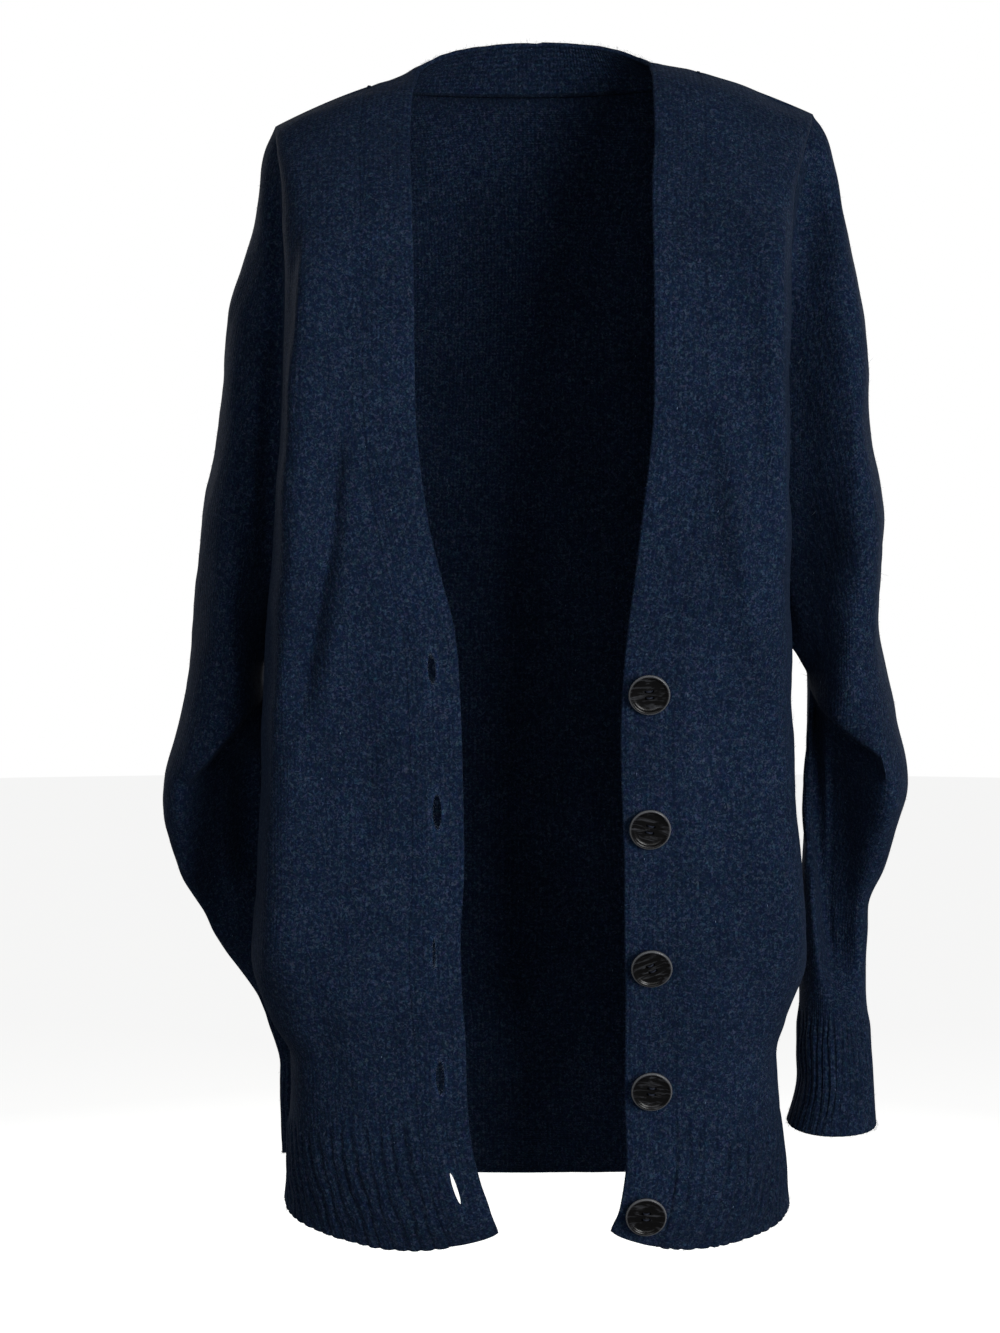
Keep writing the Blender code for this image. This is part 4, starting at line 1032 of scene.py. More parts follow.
def sleeve_panel(side, knit):
    """One sleeve down to its cuff, with its rings closest together at the elbow."""
    rings = np.concatenate(
        [
            np.linspace(0, 4.6, 62, endpoint=False),
            np.linspace(4.6, 8.6, 104, endpoint=False),
            np.linspace(8.6, CUFF_TOP, 46),
        ]
    )
    ring, turn = np.meshgrid(rings, sleeve_turns(), indexing="ij")
    outer = sleeve_cloth(side, ring, turn, knit)
    down = sleeve_heights(side, ring)
    relief = seam_shade(down)
    maps = sleeve_maps(side, sleeve_turns(), down)
    return make_wall(outer, outer, -side, knit, maps, -relief, True, (0.1, 0, 0, 0))


def cuff(side, knit):
    """One ribbed cuff."""
    rings = np.linspace(CUFF_TOP, CUFF_END, 34)
    turns = np.arange(CUFF_RIBS * 9) / (CUFF_RIBS * 9) * math.tau
    ring, turn = np.meshgrid(rings, turns, indexing="ij")
    plain = sleeve_cloth(side, ring, turn, knit)
    down = sleeve_heights(side, ring)
    height = sleeve_heights(side, CUFF_END) - down
    top = sleeve_heights(side, CUFF_END) - sleeve_heights(side, CUFF_TOP)
    maps = sleeve_maps(side, turns, down)
    phase = turn / math.tau * CUFF_RIBS
    edge = knit.edge_roll / MM
    return rib_wall(
        plain, -side, phase, height, top, 40 + side, knit, maps, True, (0, 0, edge, 0)
    )


def band_wall(side, knit):
    """The front band with rolled free edges, proud of the front and pinched at each buttonhole."""
    rib, panel = front_steps()
    paths = np.concatenate([rib[:-1], panel[:-1], TOP + np.linspace(0, 1, 40)])
    free, middle = np.linspace(0, 11, 8)[:-1], np.linspace(11, 20, 12)
    widths = np.concatenate([free, middle, np.linspace(20, BAND_WIDTH, 8)[1:]])
    path, width = np.meshgrid(paths, widths, indexing="ij")
    plain = band_surface(side, path, width)
    facing = grid_normals(plain, False, -side)
    waves = slack_waves(plain, WAVE_SEED, BODY_WAVES) * knit.slackness
    ripple = slack_waves(plain, WAVE_SEED + 9, BAND_WAVES)
    free = np.exp(-((width / 9) ** 2))
    proud = BAND_PROUD * smooth_step((BAND_WIDTH - width) / 9) - seam_dip(BAND_WIDTH - width)
    proud = proud - 0.7 * np.exp(-((width / 2.2) ** 2))
    pinch, rims = np.zeros(path.shape), np.zeros(path.shape)
    if side == RIGHT:
        for hole in BUTTONHOLES:
            above = (plain[..., 2] - hole.height) / (hole.length * 0.62)
            beside = (width - BAND_WIDTH / 2) / 5.0
            pinch += np.exp(-(above**2) * 1.2) * (
                0.9 * np.exp(-((np.abs(beside) - 0.8) ** 2) * 2.2) - 0.5 * np.exp(-(beside**2) * 4)
            )
            high = (plain[..., 2] - hole.height) / (hole.length / 2 + 1)
            wide = (width - BAND_WIDTH / 2) / (hole.width / 2 + 1)
            rims += np.exp(-(((np.hypot(high, wide) - 0.9) / 0.5) ** 2))
    outer = plain + facing * (waves + ripple * free + proud + pinch)[..., None]
    height = np.interp(path, [TOP, TOP + 1], [0, 130]) + body_heights(np.minimum(path, TOP))
    maps = np.stack([side * width, height], -1)
    # Painted shade along the band's seam, and the colour made lighter in a ring round each
    # buttonhole.
    relief = rims - seam_shade(BAND_WIDTH - width)
    edge = knit.edge_roll / MM
    return make_wall(outer, outer, -side, knit, maps, relief, False, (edge, 0.1, 0, edge))


# ---------------------------------------------------------------- buttons, holes and thread


def row_at_height(side, height, run):
    """The body row whose point at this distance from the free edge has this height."""
    rows = np.linspace(0, YOKE_START, 241)
    heights = front_surface(side, rows[:, None], np.full((len(rows), 1), run))[:, 0, 2]
    return float(np.interp(height, heights, rows))


def band_frame(side, height):
    """A matrix on the band's outer face at its middle: X across, Y up along it, Z outwards."""
    middle = BAND_WIDTH / 2
    row = row_at_height(side, height, middle)
    rows = row + np.array([-0.05, 0, 0.05])[:, None]
    runs = middle + np.array([-0.8, 0, 0.8])[None, :]
    grid = band_surface(side, rows + 0 * runs, runs + 0 * rows)
    outward = Vector(grid_normals(grid, False, -side)[1, 1])
    upward = Vector(grid[2, 1] - grid[0, 1]).normalized()
    place = Vector(grid[1, 1]) + BAND_PROUD * outward
    sideways = upward.cross(outward).normalized()
    upward = outward.cross(sideways)
    made = Matrix((sideways, upward, outward)).transposed().to_4x4()
    made.translation = place
    return made


def moved(spots, matrix):
    """Points carried by a matrix."""
    turn = np.array(matrix.to_3x3())
    return spots @ turn.T + np.array(matrix.translation)


def leaf(length, width, count):
    """An upright leaf's outline: half its width times the sine of the way up, a little uneven."""
    turn = np.arange(count) / count * math.tau
    across = np.sin(turn) * width / 2 * (0.75 + 0.25 * np.abs(np.sin(turn)))
    return across, np.cos(turn) * length / 2


def cut_holes(band):
    """Cuts the five leaf-shaped buttonholes right through the band's mesh."""
    cutters = []
    for number, hole in enumerate(BUTTONHOLES, 1):
        across, up = leaf(hole.length, hole.width, 28)
        ring = np.stack([across, up, 0 * up], -1)
        spots = np.concatenate([ring + (0, 0, -9), ring + (0, 0, 9)])
        spots = moved(spots, band_frame(RIGHT, hole.height)) * MM
        count = len(ring)
        sides = [(i, (i + 1) % count, count + (i + 1) % count, count + i) for i in range(count)]
        caps = [tuple(range(count))[::-1], tuple(range(count, 2 * count))]
        mesh = bpy.data.meshes.new(f"buttonhole_cutter_{number}")
        mesh.from_pydata(spots.tolist(), [], sides + caps)
        bm = bmesh.new()
        bm.from_mesh(mesh)
        bmesh.ops.recalc_face_normals(bm, faces=bm.faces)
        bm.to_mesh(mesh)
        bm.free()
        cutter = bpy.data.objects.new(mesh.name, mesh)
        bpy.context.scene.collection.objects.link(cutter)
        cutters.append(cutter)
        cut = band.modifiers.new(f"buttonhole {number}", "BOOLEAN")
        cut.operation = "DIFFERENCE"
        cut.solver = "EXACT"
        cut.object = cutter
    bake_modifiers(band)
    for cutter in cutters:
        bpy.data.objects.remove(cutter)


def bake_modifiers(piece):
    """Puts the evaluated mesh in place of the piece's own, and takes its modifiers off."""
    bpy.context.view_layer.update()
    graph = bpy.context.evaluated_depsgraph_get()
    name = piece.data.name
    mesh = bpy.data.meshes.new_from_object(piece.evaluated_get(graph))
    old = piece.data
    piece.modifiers.clear()
    piece.data = mesh
    bpy.data.meshes.remove(old)
    mesh.name = name


def turned_solid(name, profile, steps):
    """A profile of (radius, height) spun round Z: rings of points, with one point at each end."""
    turn = np.arange(steps) / steps * math.tau
    inside = np.array(profile[1:-1], float)
    rings = points(
        inside[:, :1] * np.cos(turn), inside[:, :1] * np.sin(turn), inside[:, 1:] + 0 * turn
    )
    spots = np.concatenate([rings.reshape(-1, 3), [(0, 0, profile[0][1]), (0, 0, profile[-1][1])]])
    count = len(inside)
    step = np.arange(steps)
    after = (step + 1) % steps
    base = np.arange(count - 1)[:, None] * steps
    quads = np.stack([base + step, base + steps + step, base + steps + after, base + after], -1)
    top, bottom = count * steps, count * steps + 1
    last = (count - 1) * steps
    faces = quads.reshape(-1, 4).tolist()
    faces += [(top, int(i), int(j)) for i, j in zip(step, after)]
    faces += [(bottom, int(last + j), int(last + i)) for i, j in zip(step, after)]
    mesh = bpy.data.meshes.new(name)
    mesh.from_pydata((spots * MM).tolist(), [], faces)
    return mesh


TUBE_TWIST = (0.13, 0.31, 0.94)


def tube_mesh(name, paths, radius, sides=6):
    """Round tubes along several paths of points, as one mesh. Each ring stands square to its path,
    turned by a direction that no path follows, and each end is closed by a point."""
    spots, faces = [], []
    start = 0
    for path in paths:
        path = np.asarray(path, float)
        along = unit(np.gradient(path, axis=0))
        side = unit(np.cross(along, TUBE_TWIST))
        lift = unit(np.cross(along, side))
        turn = (np.arange(sides) / sides * math.tau)[None, :, None]
        ring = side[:, None] * np.cos(turn) + lift[:, None] * np.sin(turn)
        rings = path[:, None] + ring * radius
        count = len(path)
        spots.append(rings.reshape(-1, 3))
        spots.append(np.array([path[0] - along[0] * radius, path[-1] + along[-1] * radius]))
        step = np.arange(sides)
        after = (step + 1) % sides
        base = start + np.arange(count - 1)[:, None] * sides
        quads = np.stack([base + step, base + after, base + sides + after, base + sides + step], -1)
        faces.append(quads.reshape(-1, 4))
        first, last = start + count * sides, start + count * sides + 1
        end = start + (count - 1) * sides
        flat = 0 * step + first
        faces.append(np.stack([start + after, start + step, flat, flat], -1))
        flat = 0 * step + last
        faces.append(np.stack([end + step, end + after, flat, flat], -1))
        start += count * sides + 2
    spots = np.concatenate(spots)
    faces = np.concatenate(faces)
    mesh = bpy.data.meshes.new(name)
    cut = [tuple(face) if face[2] != face[3] else tuple(face[:3]) for face in faces.tolist()]
    mesh.from_pydata((spots * MM).tolist(), [], cut)
    mesh.shade_smooth()
    return mesh


# ---------------------------------------------------------------- loose wool


def fibre_mesh(name, roots, leaning, lengths, thickness):
    """Bent fibres as closed spikes: a triangle at the root, one halfway up and a point at the
    end. Each leans from its root along "leaning" and bends to one side, its point by 0.15 to 0.5 of
    its length."""
    rng = np.random.default_rng(len(roots))
    side = unit(np.cross(leaning, unit(rng.normal(size=leaning.shape))))
    lift = np.cross(leaning, side)
    turn = np.arange(3) / 3 * math.tau
    ring = side[:, None] * np.cos(turn)[None, :, None] + lift[:, None] * np.sin(turn)[None, :, None]
    bend = side * (rng.uniform(0.15, 0.5, len(roots)) * lengths)[:, None]
    middle = roots + leaning * (lengths * 0.5)[:, None] + bend * 0.25
    end = roots + leaning * lengths[:, None] + bend
    low = roots[:, None] + ring * thickness / 2
    high = middle[:, None] + ring * thickness / 2.6
    spots = np.concatenate([low, high, end[:, None]], axis=1).reshape(-1, 3)
    base = np.arange(len(roots))[:, None] * 7
    faces = []
    for i in range(3):
        j = (i + 1) % 3
        faces.append(base + [i, j, 3 + j])
        faces.append(base + [i, 3 + j, 3 + i])
        faces.append(base + [3 + i, 3 + j, 6])
    faces.append(base + [2, 1, 0])
    faces = np.stack(faces, axis=1).reshape(-1, 3)
    return new_mesh(name, spots, faces, sharp=180)


def surface_fibres(walls, count, length, seed):
    """Roots, leanings and lengths of fibres spread over the outer faces of several walls, each
    picked with a chance that follows its patch's area."""
    rng = np.random.default_rng(seed)
    spots, facings, areas = [], [], []
    for wall, outward in walls:
        grid = wall.outer
        facing = grid_normals(grid, wall.wraps, outward)
        by_row = np.linalg.norm(np.gradient(grid, axis=0), axis=-1)
        by_column = np.linalg.norm(np.gradient(grid, axis=1), axis=-1)
        spots.append(grid[1:-1, 1:-1].reshape(-1, 3))
        facings.append(facing[1:-1, 1:-1].reshape(-1, 3))
        areas.append((by_row * by_column)[1:-1, 1:-1].ravel())
    spots, facings, areas = np.concatenate(spots), np.concatenate(facings), np.concatenate(areas)
    picked = rng.choice(len(spots), count, p=areas / areas.sum())
    facing = facings[picked]
    loose = rng.normal(size=(count, 3))
    flat = unit(loose - facing * (loose * facing).sum(-1, keepdims=True))
    roots = spots[picked] + flat * rng.uniform(0, 2.2, (count, 1)) - facing * 0.25
    upright = rng.uniform(0.35, 1.1, (count, 1))
    return roots, unit(flat + facing * upright), length * rng.uniform(0.45, 1.25, count)


def edge_fibres(lines, count, length, seed):
    """Fibres that stand off free edges. Each line is (points, outward direction at each)."""
    rng = np.random.default_rng(seed)
    spots = np.concatenate([line for line, _ in lines])
    away = np.concatenate([direction for _, direction in lines])
    picked = rng.integers(0, len(spots), count)
    loose = rng.normal(size=(count, 3))
    leaning = unit(away[picked] + 0.55 * loose)
    roots = spots[picked] + 0.72 * rng.normal(size=(count, 3))
    return roots, leaning, length * rng.uniform(0.4, 1.2, count)


# ---------------------------------------------------------------- materials


def add_node(tree, kind, links=(), **settings):
    """Adds a node, sets its settings and inputs, and links inputs to other nodes' outputs. A key
    with a leading underscore is an input by number, as _0, and any other a property. links holds
    (input, node, output)."""
    node = tree.nodes.new(kind)
    for key, value in settings.items():
        if key.startswith("_"):
            node.inputs[int(key[1:])].default_value = value
        else:
            setattr(node, key, value)
    for place, source, output in links:
        tree.links.new(source.outputs[output], node.inputs[place])
    return node


def set_inputs(node, **values):
    """Sets a node's inputs by name; an underscore stands for a space."""
    for name, value in values.items():
        node.inputs[name.replace("_", " ")].default_value = value


def new_material(name):
    """An empty material with its shader and output."""
    material = bpy.data.materials.new(name)
    material.use_nodes = True
    tree = material.node_tree
    tree.nodes.clear()
    shader = add_node(tree, "ShaderNodeBsdfPrincipled")
    add_node(tree, "ShaderNodeOutputMaterial", [("Surface", shader, "BSDF")])
    return material, tree, shader


WALE, COURSE = 3.0, 2.2  # from one column or course of stitches to the next, in millimetres


def felted_wool(name, knit, wales=0.16, purl=False, tone=1.0):
    """Felted lambswool, knitted, milled and brushed. Milling blurs the stitches to faint columns
    3 mm apart under a matt nap; the dyed fibres are mixed, so that the eye sees fine light and
    dark specks, patches a shade bluer or greyer, and now and then a pale hair."""
    material, tree, shader = new_material(name)
    place = add_node(tree, "ShaderNodeTexCoord")
    uv = add_node(tree, "ShaderNodeUVMap", uv_map="knit")
    relief = add_node(tree, "ShaderNodeAttribute", attribute_name="relief")

    def noise(scale_mm, detail, roughness=0.55, source=place, output="Object", stretch=None):
        """A noise that size, over the piece or along its knit map."""
        links = [("Vector", source, output)]
        if stretch is not None:
            mapping = add_node(tree, "ShaderNodeMapping", links, _3=stretch)
            links = [("Vector", mapping, "Vector")]
        made = add_node(tree, "ShaderNodeTexNoise", links)
        set_inputs(made, Scale=1 / (scale_mm * MM), Detail=detail, Roughness=roughness)
        return made

    def ramp(source, output, stops):
        """Colours by a node's output, between stops."""
        made = add_node(tree, "ShaderNodeValToRGB", [("Fac", source, output)])
        elements = made.color_ramp.elements
        while len(elements) < len(stops):
            elements.new(0.5)
        for element, (at, colour) in zip(elements, stops):
            element.position = at
            element.color = (*colour, 1)
        return made

    def maths(operation, *terms):
        """A calculation with numbers and other nodes' outputs."""
        made = add_node(tree, "ShaderNodeMath", operation=operation)
        for place_in, term in enumerate(terms):
            if isinstance(term, tuple):
                tree.links.new(term[0].outputs[term[1]], made.inputs[place_in])
            else:
                made.inputs[place_in].default_value = term
        return made

    specks = noise(2.1, 2, 0.62)
    specks.inputs["Distortion"].default_value = 1.3
    patches = noise(7.0, 2)
    clouds = noise(48.0, 2)
    dark = np.array(knit.wool_dark) * tone
    middle = np.array(knit.wool_middle) * tone
    light = np.array(knit.wool_light) * tone
    heather = ramp(specks, "Fac", [(0.30, dark), (0.50, middle), (0.72, light)])
    tint = ramp(
        patches, "Fac", [(0.30, (0.90, 0.93, 1.02)), (0.52, (1, 1, 1)), (0.74, (1.05, 1.08, 1.04))]
    )
    mixed = add_node(
        tree, "ShaderNodeMix", data_type="RGBA", blend_type="MULTIPLY", clamp_factor=True
    )
    mixed.inputs["Factor"].default_value = 1.0
    tree.links.new(heather.outputs["Color"], mixed.inputs["A"])
    tree.links.new(tint.outputs["Color"], mixed.inputs["B"])
    shade = ramp(clouds, "Fac", [(0.32, (0.88,) * 3), (0.68, (1.12,) * 3)])
    # Each channel has a speckle of its own, which mixes teal, lavender and grey hairs in.
    hues = noise(3.0, 2, 0.7)
    spread = add_node(tree, "ShaderNodeVectorMath", [(0, hues, "Color")], operation="MULTIPLY_ADD")
    spread.inputs[1].default_value = (1.6, 0.9, 0.6)
    spread.inputs[2].default_value = (0.2, 0.55, 0.7)
    clouded = add_node(tree, "ShaderNodeMix", data_type="RGBA", blend_type="MULTIPLY")
    clouded.inputs["Factor"].default_value = 1.0
    mottled = add_node(tree, "ShaderNodeVectorMath", operation="MULTIPLY")
    tree.links.new(mixed.outputs["Result"], mottled.inputs[0])
    tree.links.new(spread.outputs["Vector"], mottled.inputs[1])
    tree.links.new(mottled.outputs["Vector"], clouded.inputs["A"])
    tree.links.new(shade.outputs["Color"], clouded.inputs["B"])

    # Columns and courses of stitches, bent by a fine noise.
    drift = noise(9.0, 1, source=uv, output="UV")
    split = add_node(tree, "ShaderNodeSeparateXYZ", [("Vector", uv, "UV")])
    bend = maths("MULTIPLY_ADD", (drift, "Fac"), 0.0016, (split, "X"))
    column = maths("SINE", (maths("MULTIPLY", (bend, "Value"), math.tau / (WALE * MM)), "Value"))
    rise = maths("MULTIPLY_ADD", (drift, "Fac"), 0.0012, (split, "Y"))
    course = maths("SINE", (maths("MULTIPLY", (rise, "Value"), math.tau / (COURSE * MM)), "Value"))
    columns = maths("MULTIPLY_ADD", (column, "Value"), wales * 0.35, 1.0)
    # Painted shade: the per-point value darkens the colour in rib grooves and along seams, and
    # lightens it in a ring round each buttonhole.
    grooves = maths("MULTIPLY_ADD", (relief, "Fac"), 0.45, 1.0)
    dim = maths("MULTIPLY", (columns, "Value"), (grooves, "Value"))
    shaded = add_node(tree, "ShaderNodeVectorMath", operation="SCALE")
    tree.links.new(clouded.outputs["Result"], shaded.inputs[0])
    tree.links.new(dim.outputs["Value"], shaded.inputs["Scale"])

    # Pale hairs: thin, stretched specks that cover well under a hundredth of the cloth.
    hairs = noise(1.0, 1, source=uv, output="UV", stretch=(1.0, 0.28, 1.0))
    sparse = noise(17.0, 1)
    hair = ramp(hairs, "Fac", [(0.74, (0, 0, 0)), (0.80, (1, 1, 1))])
    where = ramp(sparse, "Fac", [(0.55, (0, 0, 0)), (0.66, (1, 1, 1))])
    pale = maths("MULTIPLY", (hair, "Color"), (where, "Color"))
    flecked = add_node(tree, "ShaderNodeMix", data_type="RGBA")
    tree.links.new(pale.outputs["Value"], flecked.inputs["Factor"])
    tree.links.new(shaded.outputs["Vector"], flecked.inputs["A"])
    flecked.inputs["B"].default_value = (*(np.array(knit.fleck) * tone), 1)
    tree.links.new(flecked.outputs["Result"], shader.inputs["Base Color"])

    nap = noise(1.3, 3, 0.65)
    pills = noise(3.4, 2, 0.6)
    height = maths("MULTIPLY", (nap, "Fac"), 0.9)
    height = maths("MULTIPLY_ADD", (pills, "Fac"), 1.1, (height, "Value"))
    height = maths("MULTIPLY_ADD", (column, "Value"), wales, (height, "Value"))
    across = wales * (1.1 if purl else 0.45)
    height = maths("MULTIPLY_ADD", (course, "Value"), across, (height, "Value"))
    bump = add_node(tree, "ShaderNodeBump", [("Height", height, "Value")])
    set_inputs(bump, Strength=0.9, Distance=0.55 * MM)
    tree.links.new(bump.outputs["Normal"], shader.inputs["Normal"])
    set_inputs(
        shader, Roughness=0.94, Specular_IOR_Level=0.06, Sheen_Weight=0.05, Sheen_Roughness=0.55,
        Sheen_Tint=(*knit.sheen, 1),
    )
    return material


def mottle_colour(tree, shader, scale, low, high, stops=(0.0, 1.0)):
    """The shader's colour wanders between two, by a noise of that scale."""
    place = add_node(tree, "ShaderNodeTexCoord")
    mottle = add_node(tree, "ShaderNodeTexNoise", [("Vector", place, "Object")])
    mottle.inputs["Scale"].default_value = scale
    ramp = add_node(tree, "ShaderNodeValToRGB", [("Fac", mottle, "Fac")])
    for element, stop, colour in zip(ramp.color_ramp.elements, stops, (low, high)):
        element.position = stop
        element.color = (*colour, 1)
    tree.links.new(ramp.outputs["Color"], shader.inputs["Base Color"])


def loose_fibre(name, colour):
    """Single wool fibres off the nap: matt and a shade lighter than the cloth behind them."""
    material, tree, shader = new_material(name)
    colour = np.array(colour)
    mottle_colour(tree, shader, 1 / (6 * MM), colour * 0.6, colour * 1.5, (0.35, 0.7))
    set_inputs(shader, Roughness=0.9, Specular_IOR_Level=0.1)
    return material


def dark_horn(name, buttons):
    """Polyester horn resin, turned and tumbled: nearly black with smoky grey streaks that run
    across it, a satin gloss and a clear skin that catches the light on the rim, along whose top
    a lighter grey ring is painted as a highlight."""
    material, tree, shader = new_material(name)
    grain = add_node(tree, "ShaderNodeUVMap", uv_map="grain")
    stretched = add_node(tree, "ShaderNodeMapping", [("Vector", grain, "UV")], _3=(1.0, 5.0, 1.0))
    smoke = add_node(tree, "ShaderNodeTexNoise", [("Vector", stretched, "Vector")])
    set_inputs(smoke, Scale=1 / (11 * MM), Detail=5, Roughness=0.62, Distortion=0.6)
    ramp = add_node(tree, "ShaderNodeValToRGB", [("Fac", smoke, "Fac")])
    elements = ramp.color_ramp.elements
    elements[0].position, elements[0].color = 0.52, (*buttons.horn_dark, 1)
    elements[1].position, elements[1].color = 0.80, (*buttons.horn_grey, 1)
    # A painted highlight: a lighter grey ring along the top of the rim.
    rubbed = add_node(tree, "ShaderNodeAttribute", attribute_name="rubbed")
    worn = add_node(
        tree, "ShaderNodeMix", [("Factor", rubbed, "Fac"), ("A", ramp, "Color")], data_type="RGBA"
    )
    worn.inputs["B"].default_value = (*buttons.rim_highlight_colour, 1)
    tree.links.new(worn.outputs["Result"], shader.inputs["Base Color"])
    scratch = add_node(tree, "ShaderNodeTexNoise", [("Vector", grain, "UV")])
    scratch.inputs["Scale"].default_value = 1 / (1.6 * MM)
    bump = add_node(tree, "ShaderNodeBump", [("Height", scratch, "Fac")])
    set_inputs(bump, Strength=0.12, Distance=0.1 * MM)
    tree.links.new(bump.outputs["Normal"], shader.inputs["Normal"])
    set_inputs(
        shader, Roughness=0.27, IOR=1.5, Specular_IOR_Level=0.26, Coat_Weight=0.06,
        Coat_Roughness=0.18,
    )
    return material


def sewing_thread(name, colour):
    """Spun polyester thread, a dull twist: fine slanting lights and darks along it."""
    material, tree, shader = new_material(name)
    colour = np.array(colour)
    mottle_colour(tree, shader, 1 / (0.5 * MM), colour * 0.5, colour * 1.6)
    shader.inputs["Roughness"].default_value = 0.75
    return material


def studio_floor(name, colour):
    """Matt white card with a barely uneven coat."""
    material, tree, shader = new_material(name)
    mottle_colour(tree, shader, 1.5, np.array(colour) * 0.97, colour)
    set_inputs(
        shader, Roughness=1.0, Specular_IOR_Level=0.0, Emission_Color=(1, 1, 1, 1),
        Emission_Strength=0.78,
    )
    return material


def shared_material(name, maker, *terms, **settings):
    """The material of that name, made on first use."""
    found = bpy.data.materials.get(name)
    return found if found else maker(name, *terms, **settings)


def purl_side(knit):
    """The cloth's inside, which all its pieces share."""
    return shared_material(
        "felted lambswool, purl side", felted_wool, knit, wales=0.3, purl=True, tone=0.85
    )


def panel_materials(knit):
    """The plain panels' outside and inside."""
    return [shared_material("felted lambswool, face", felted_wool, knit), purl_side(knit)]


def rib_materials(knit):
    """The same for hems and cuffs: clearer columns and a touch darker."""
    ribs = shared_material("felted lambswool, ribs", felted_wool, knit, wales=0.2, tone=0.98)
    return [ribs, purl_side(knit)]


def band_materials(knit):
    """The same for the front band, which is knitted tightest."""
    band = shared_material("felted lambswool, front band", felted_wool, knit, wales=0.22)
    return [band, purl_side(knit)]


# ---------------------------------------------------------------- settings


def length_property(name, description, default):
    """A size in metres."""
    return FloatProperty(
        name=name, description=description, default=default, min=0, precision=4, unit="LENGTH"
    )


def colour_property(name, description, code):
    """A colour, given by its sRGB hex value."""
    return FloatVectorProperty(
        name=name, description=description, default=linear(code), size=3, min=0, max=1,
        subtype="COLOR",
    )


class KnitSettings(bpy.types.PropertyGroup):
    wall: length_property("Cloth thickness", "Thickness of the felted knit", 0.0028)
    rib_pitch: length_property("Hem rib pitch", "Distance from one hem rib to the next", 0.009)
    rib_depth: length_property("Rib depth", "Height of a rib's ridge above its groove", 0.0017)
    edge_roll: length_property("Edge roll", "How far a free edge rounds outwards", 0.0014)
    slackness: FloatProperty(
        name="Slackness", description="Strength of the cloth's slight waves", default=1.0, min=0
    )
    wool_dark: colour_property("Dark fibres", "The darkest of the mixed fibres", "#091427")
    wool_middle: colour_property("Middle fibres", "The main colour of the wool", "#111e33")
    wool_light: colour_property("Light fibres", "The lightest common fibres", "#323f53")
    fleck: colour_property("Pale hairs", "The few undyed hairs", "#6f819b")
    sheen: colour_property("Nap", "Tint of the light that the nap catches", "#7f9bc8")


class ButtonSettings(bpy.types.PropertyGroup):
    hole_diameter: length_property("Sewing hole", "Diameter of each sewing hole", 0.0019)
    hole_spacing: length_property("Hole spacing", "Side of the square of holes", 0.0042)
    horn_dark: colour_property("Horn", "The resin's main colour", "#020203")
    horn_grey: colour_property("Smoke", "The resin's streaks", "#4a4c51")
    # The lighter grey painted on the rim's top as its highlight.
    rim_highlight_colour: colour_property("Painted rim highlight", "The resin where the rim is rubbed", "#6a6c70")
    thread: colour_property("Thread", "Sewing thread", "#10182a")


class PileSettings(bpy.types.PropertyGroup):
    on_surface: IntProperty(
        name="Surface fibres", description="Fibres on the outer faces", default=9000, min=0
    )
    on_edges: IntProperty(
        name="Edge fibres", description="Fibres on the free edges", default=6000, min=0
    )
    on_holes: IntProperty(
        name="Frayed fibres", description="Fibres round the buttonholes", default=700, min=0
    )
    lint_count: IntProperty(
        name="Pale fibres", description="Longer pale fibres on the cloth", default=90, min=0
    )
    length: length_property("Fibre length", "Usual length of a loose fibre", 0.0026)
    thickness: length_property("Fibre thickness", "As drawn; a real one is finer", 0.00011)
    colour: colour_property("Fibre colour", "Loose fibres of the cloth's colour", "#22314c")
    lint: colour_property("Lint colour", "The few pale fibres", "#6c7888")


class StageSettings(bpy.types.PropertyGroup):
    floor_drop: length_property("Floor depth", "Floor's distance below the origin", 1.42)
    backdrop: colour_property("Backdrop", "Colour of the light all round", "#ffffff")
    floor: colour_property("Floor", "Colour of the floor", "#e9e9e7")
    ambient: FloatProperty(
        name="Room light", description="Strength of the light from all round", default=0.2, min=0
    )
    key: FloatProperty(name="Key light", description="Power in watts", default=34.0, min=0)
    fill: FloatProperty(name="Fill light", description="Power in watts", default=9.0, min=0)
    back: FloatProperty(name="Back light", description="Power in watts", default=26.0, min=0)


# ---------------------------------------------------------------- operators


def knit_piece(name, wall, materials, node):
    """A wall of cloth as a piece that stands for that node."""
    return place_piece(cloth_mesh(name, wall), materials, [node])


class CARDIGAN_OT_back(bpy.types.Operator):
    """Knit the back and its ribbed hem"""

    bl_idname = "cardigan.back"
    bl_label = "Back"

    def execute(self, context):
        knit = context.scene.cardigan_knit
        panel, rib = back_panel(knit), back_rib(knit)
        panel = knit_piece("knit_back", panel, panel_materials(knit), "back")
        rib = knit_piece("knit_back_rib", rib, rib_materials(knit), "hem_rib_back")
        return {"FINISHED"}


class CARDIGAN_OT_fronts(bpy.types.Operator):
    """Knit both fronts and their ribbed hems"""

    bl_idname = "cardigan.fronts"
    bl_label = "Fronts"

    def execute(self, context):
        knit = context.scene.cardigan_knit
        for side, word in WORDS.items():
            panel = knit_piece(
                f"knit_front_{word}", front_panel(side, knit), panel_materials(knit),
                f"front_{word}",
            )
            rib = knit_piece(
                f"knit_rib_{word}", front_rib(side, knit), rib_materials(knit),
                f"hem_rib_{word}",
            )
        return {"FINISHED"}


class CARDIGAN_OT_sleeves(bpy.types.Operator):
    """Knit both sleeves, with the slack roll at each elbow"""

    bl_idname = "cardigan.sleeves"
    bl_label = "Sleeves"

    def execute(self, context):
        knit = context.scene.cardigan_knit
        for side, word in WORDS.items():
            sleeve = knit_piece(
                f"knit_sleeve_{word}", sleeve_panel(side, knit), panel_materials(knit),
                f"sleeve_{word}",
            )
        return {"FINISHED"}


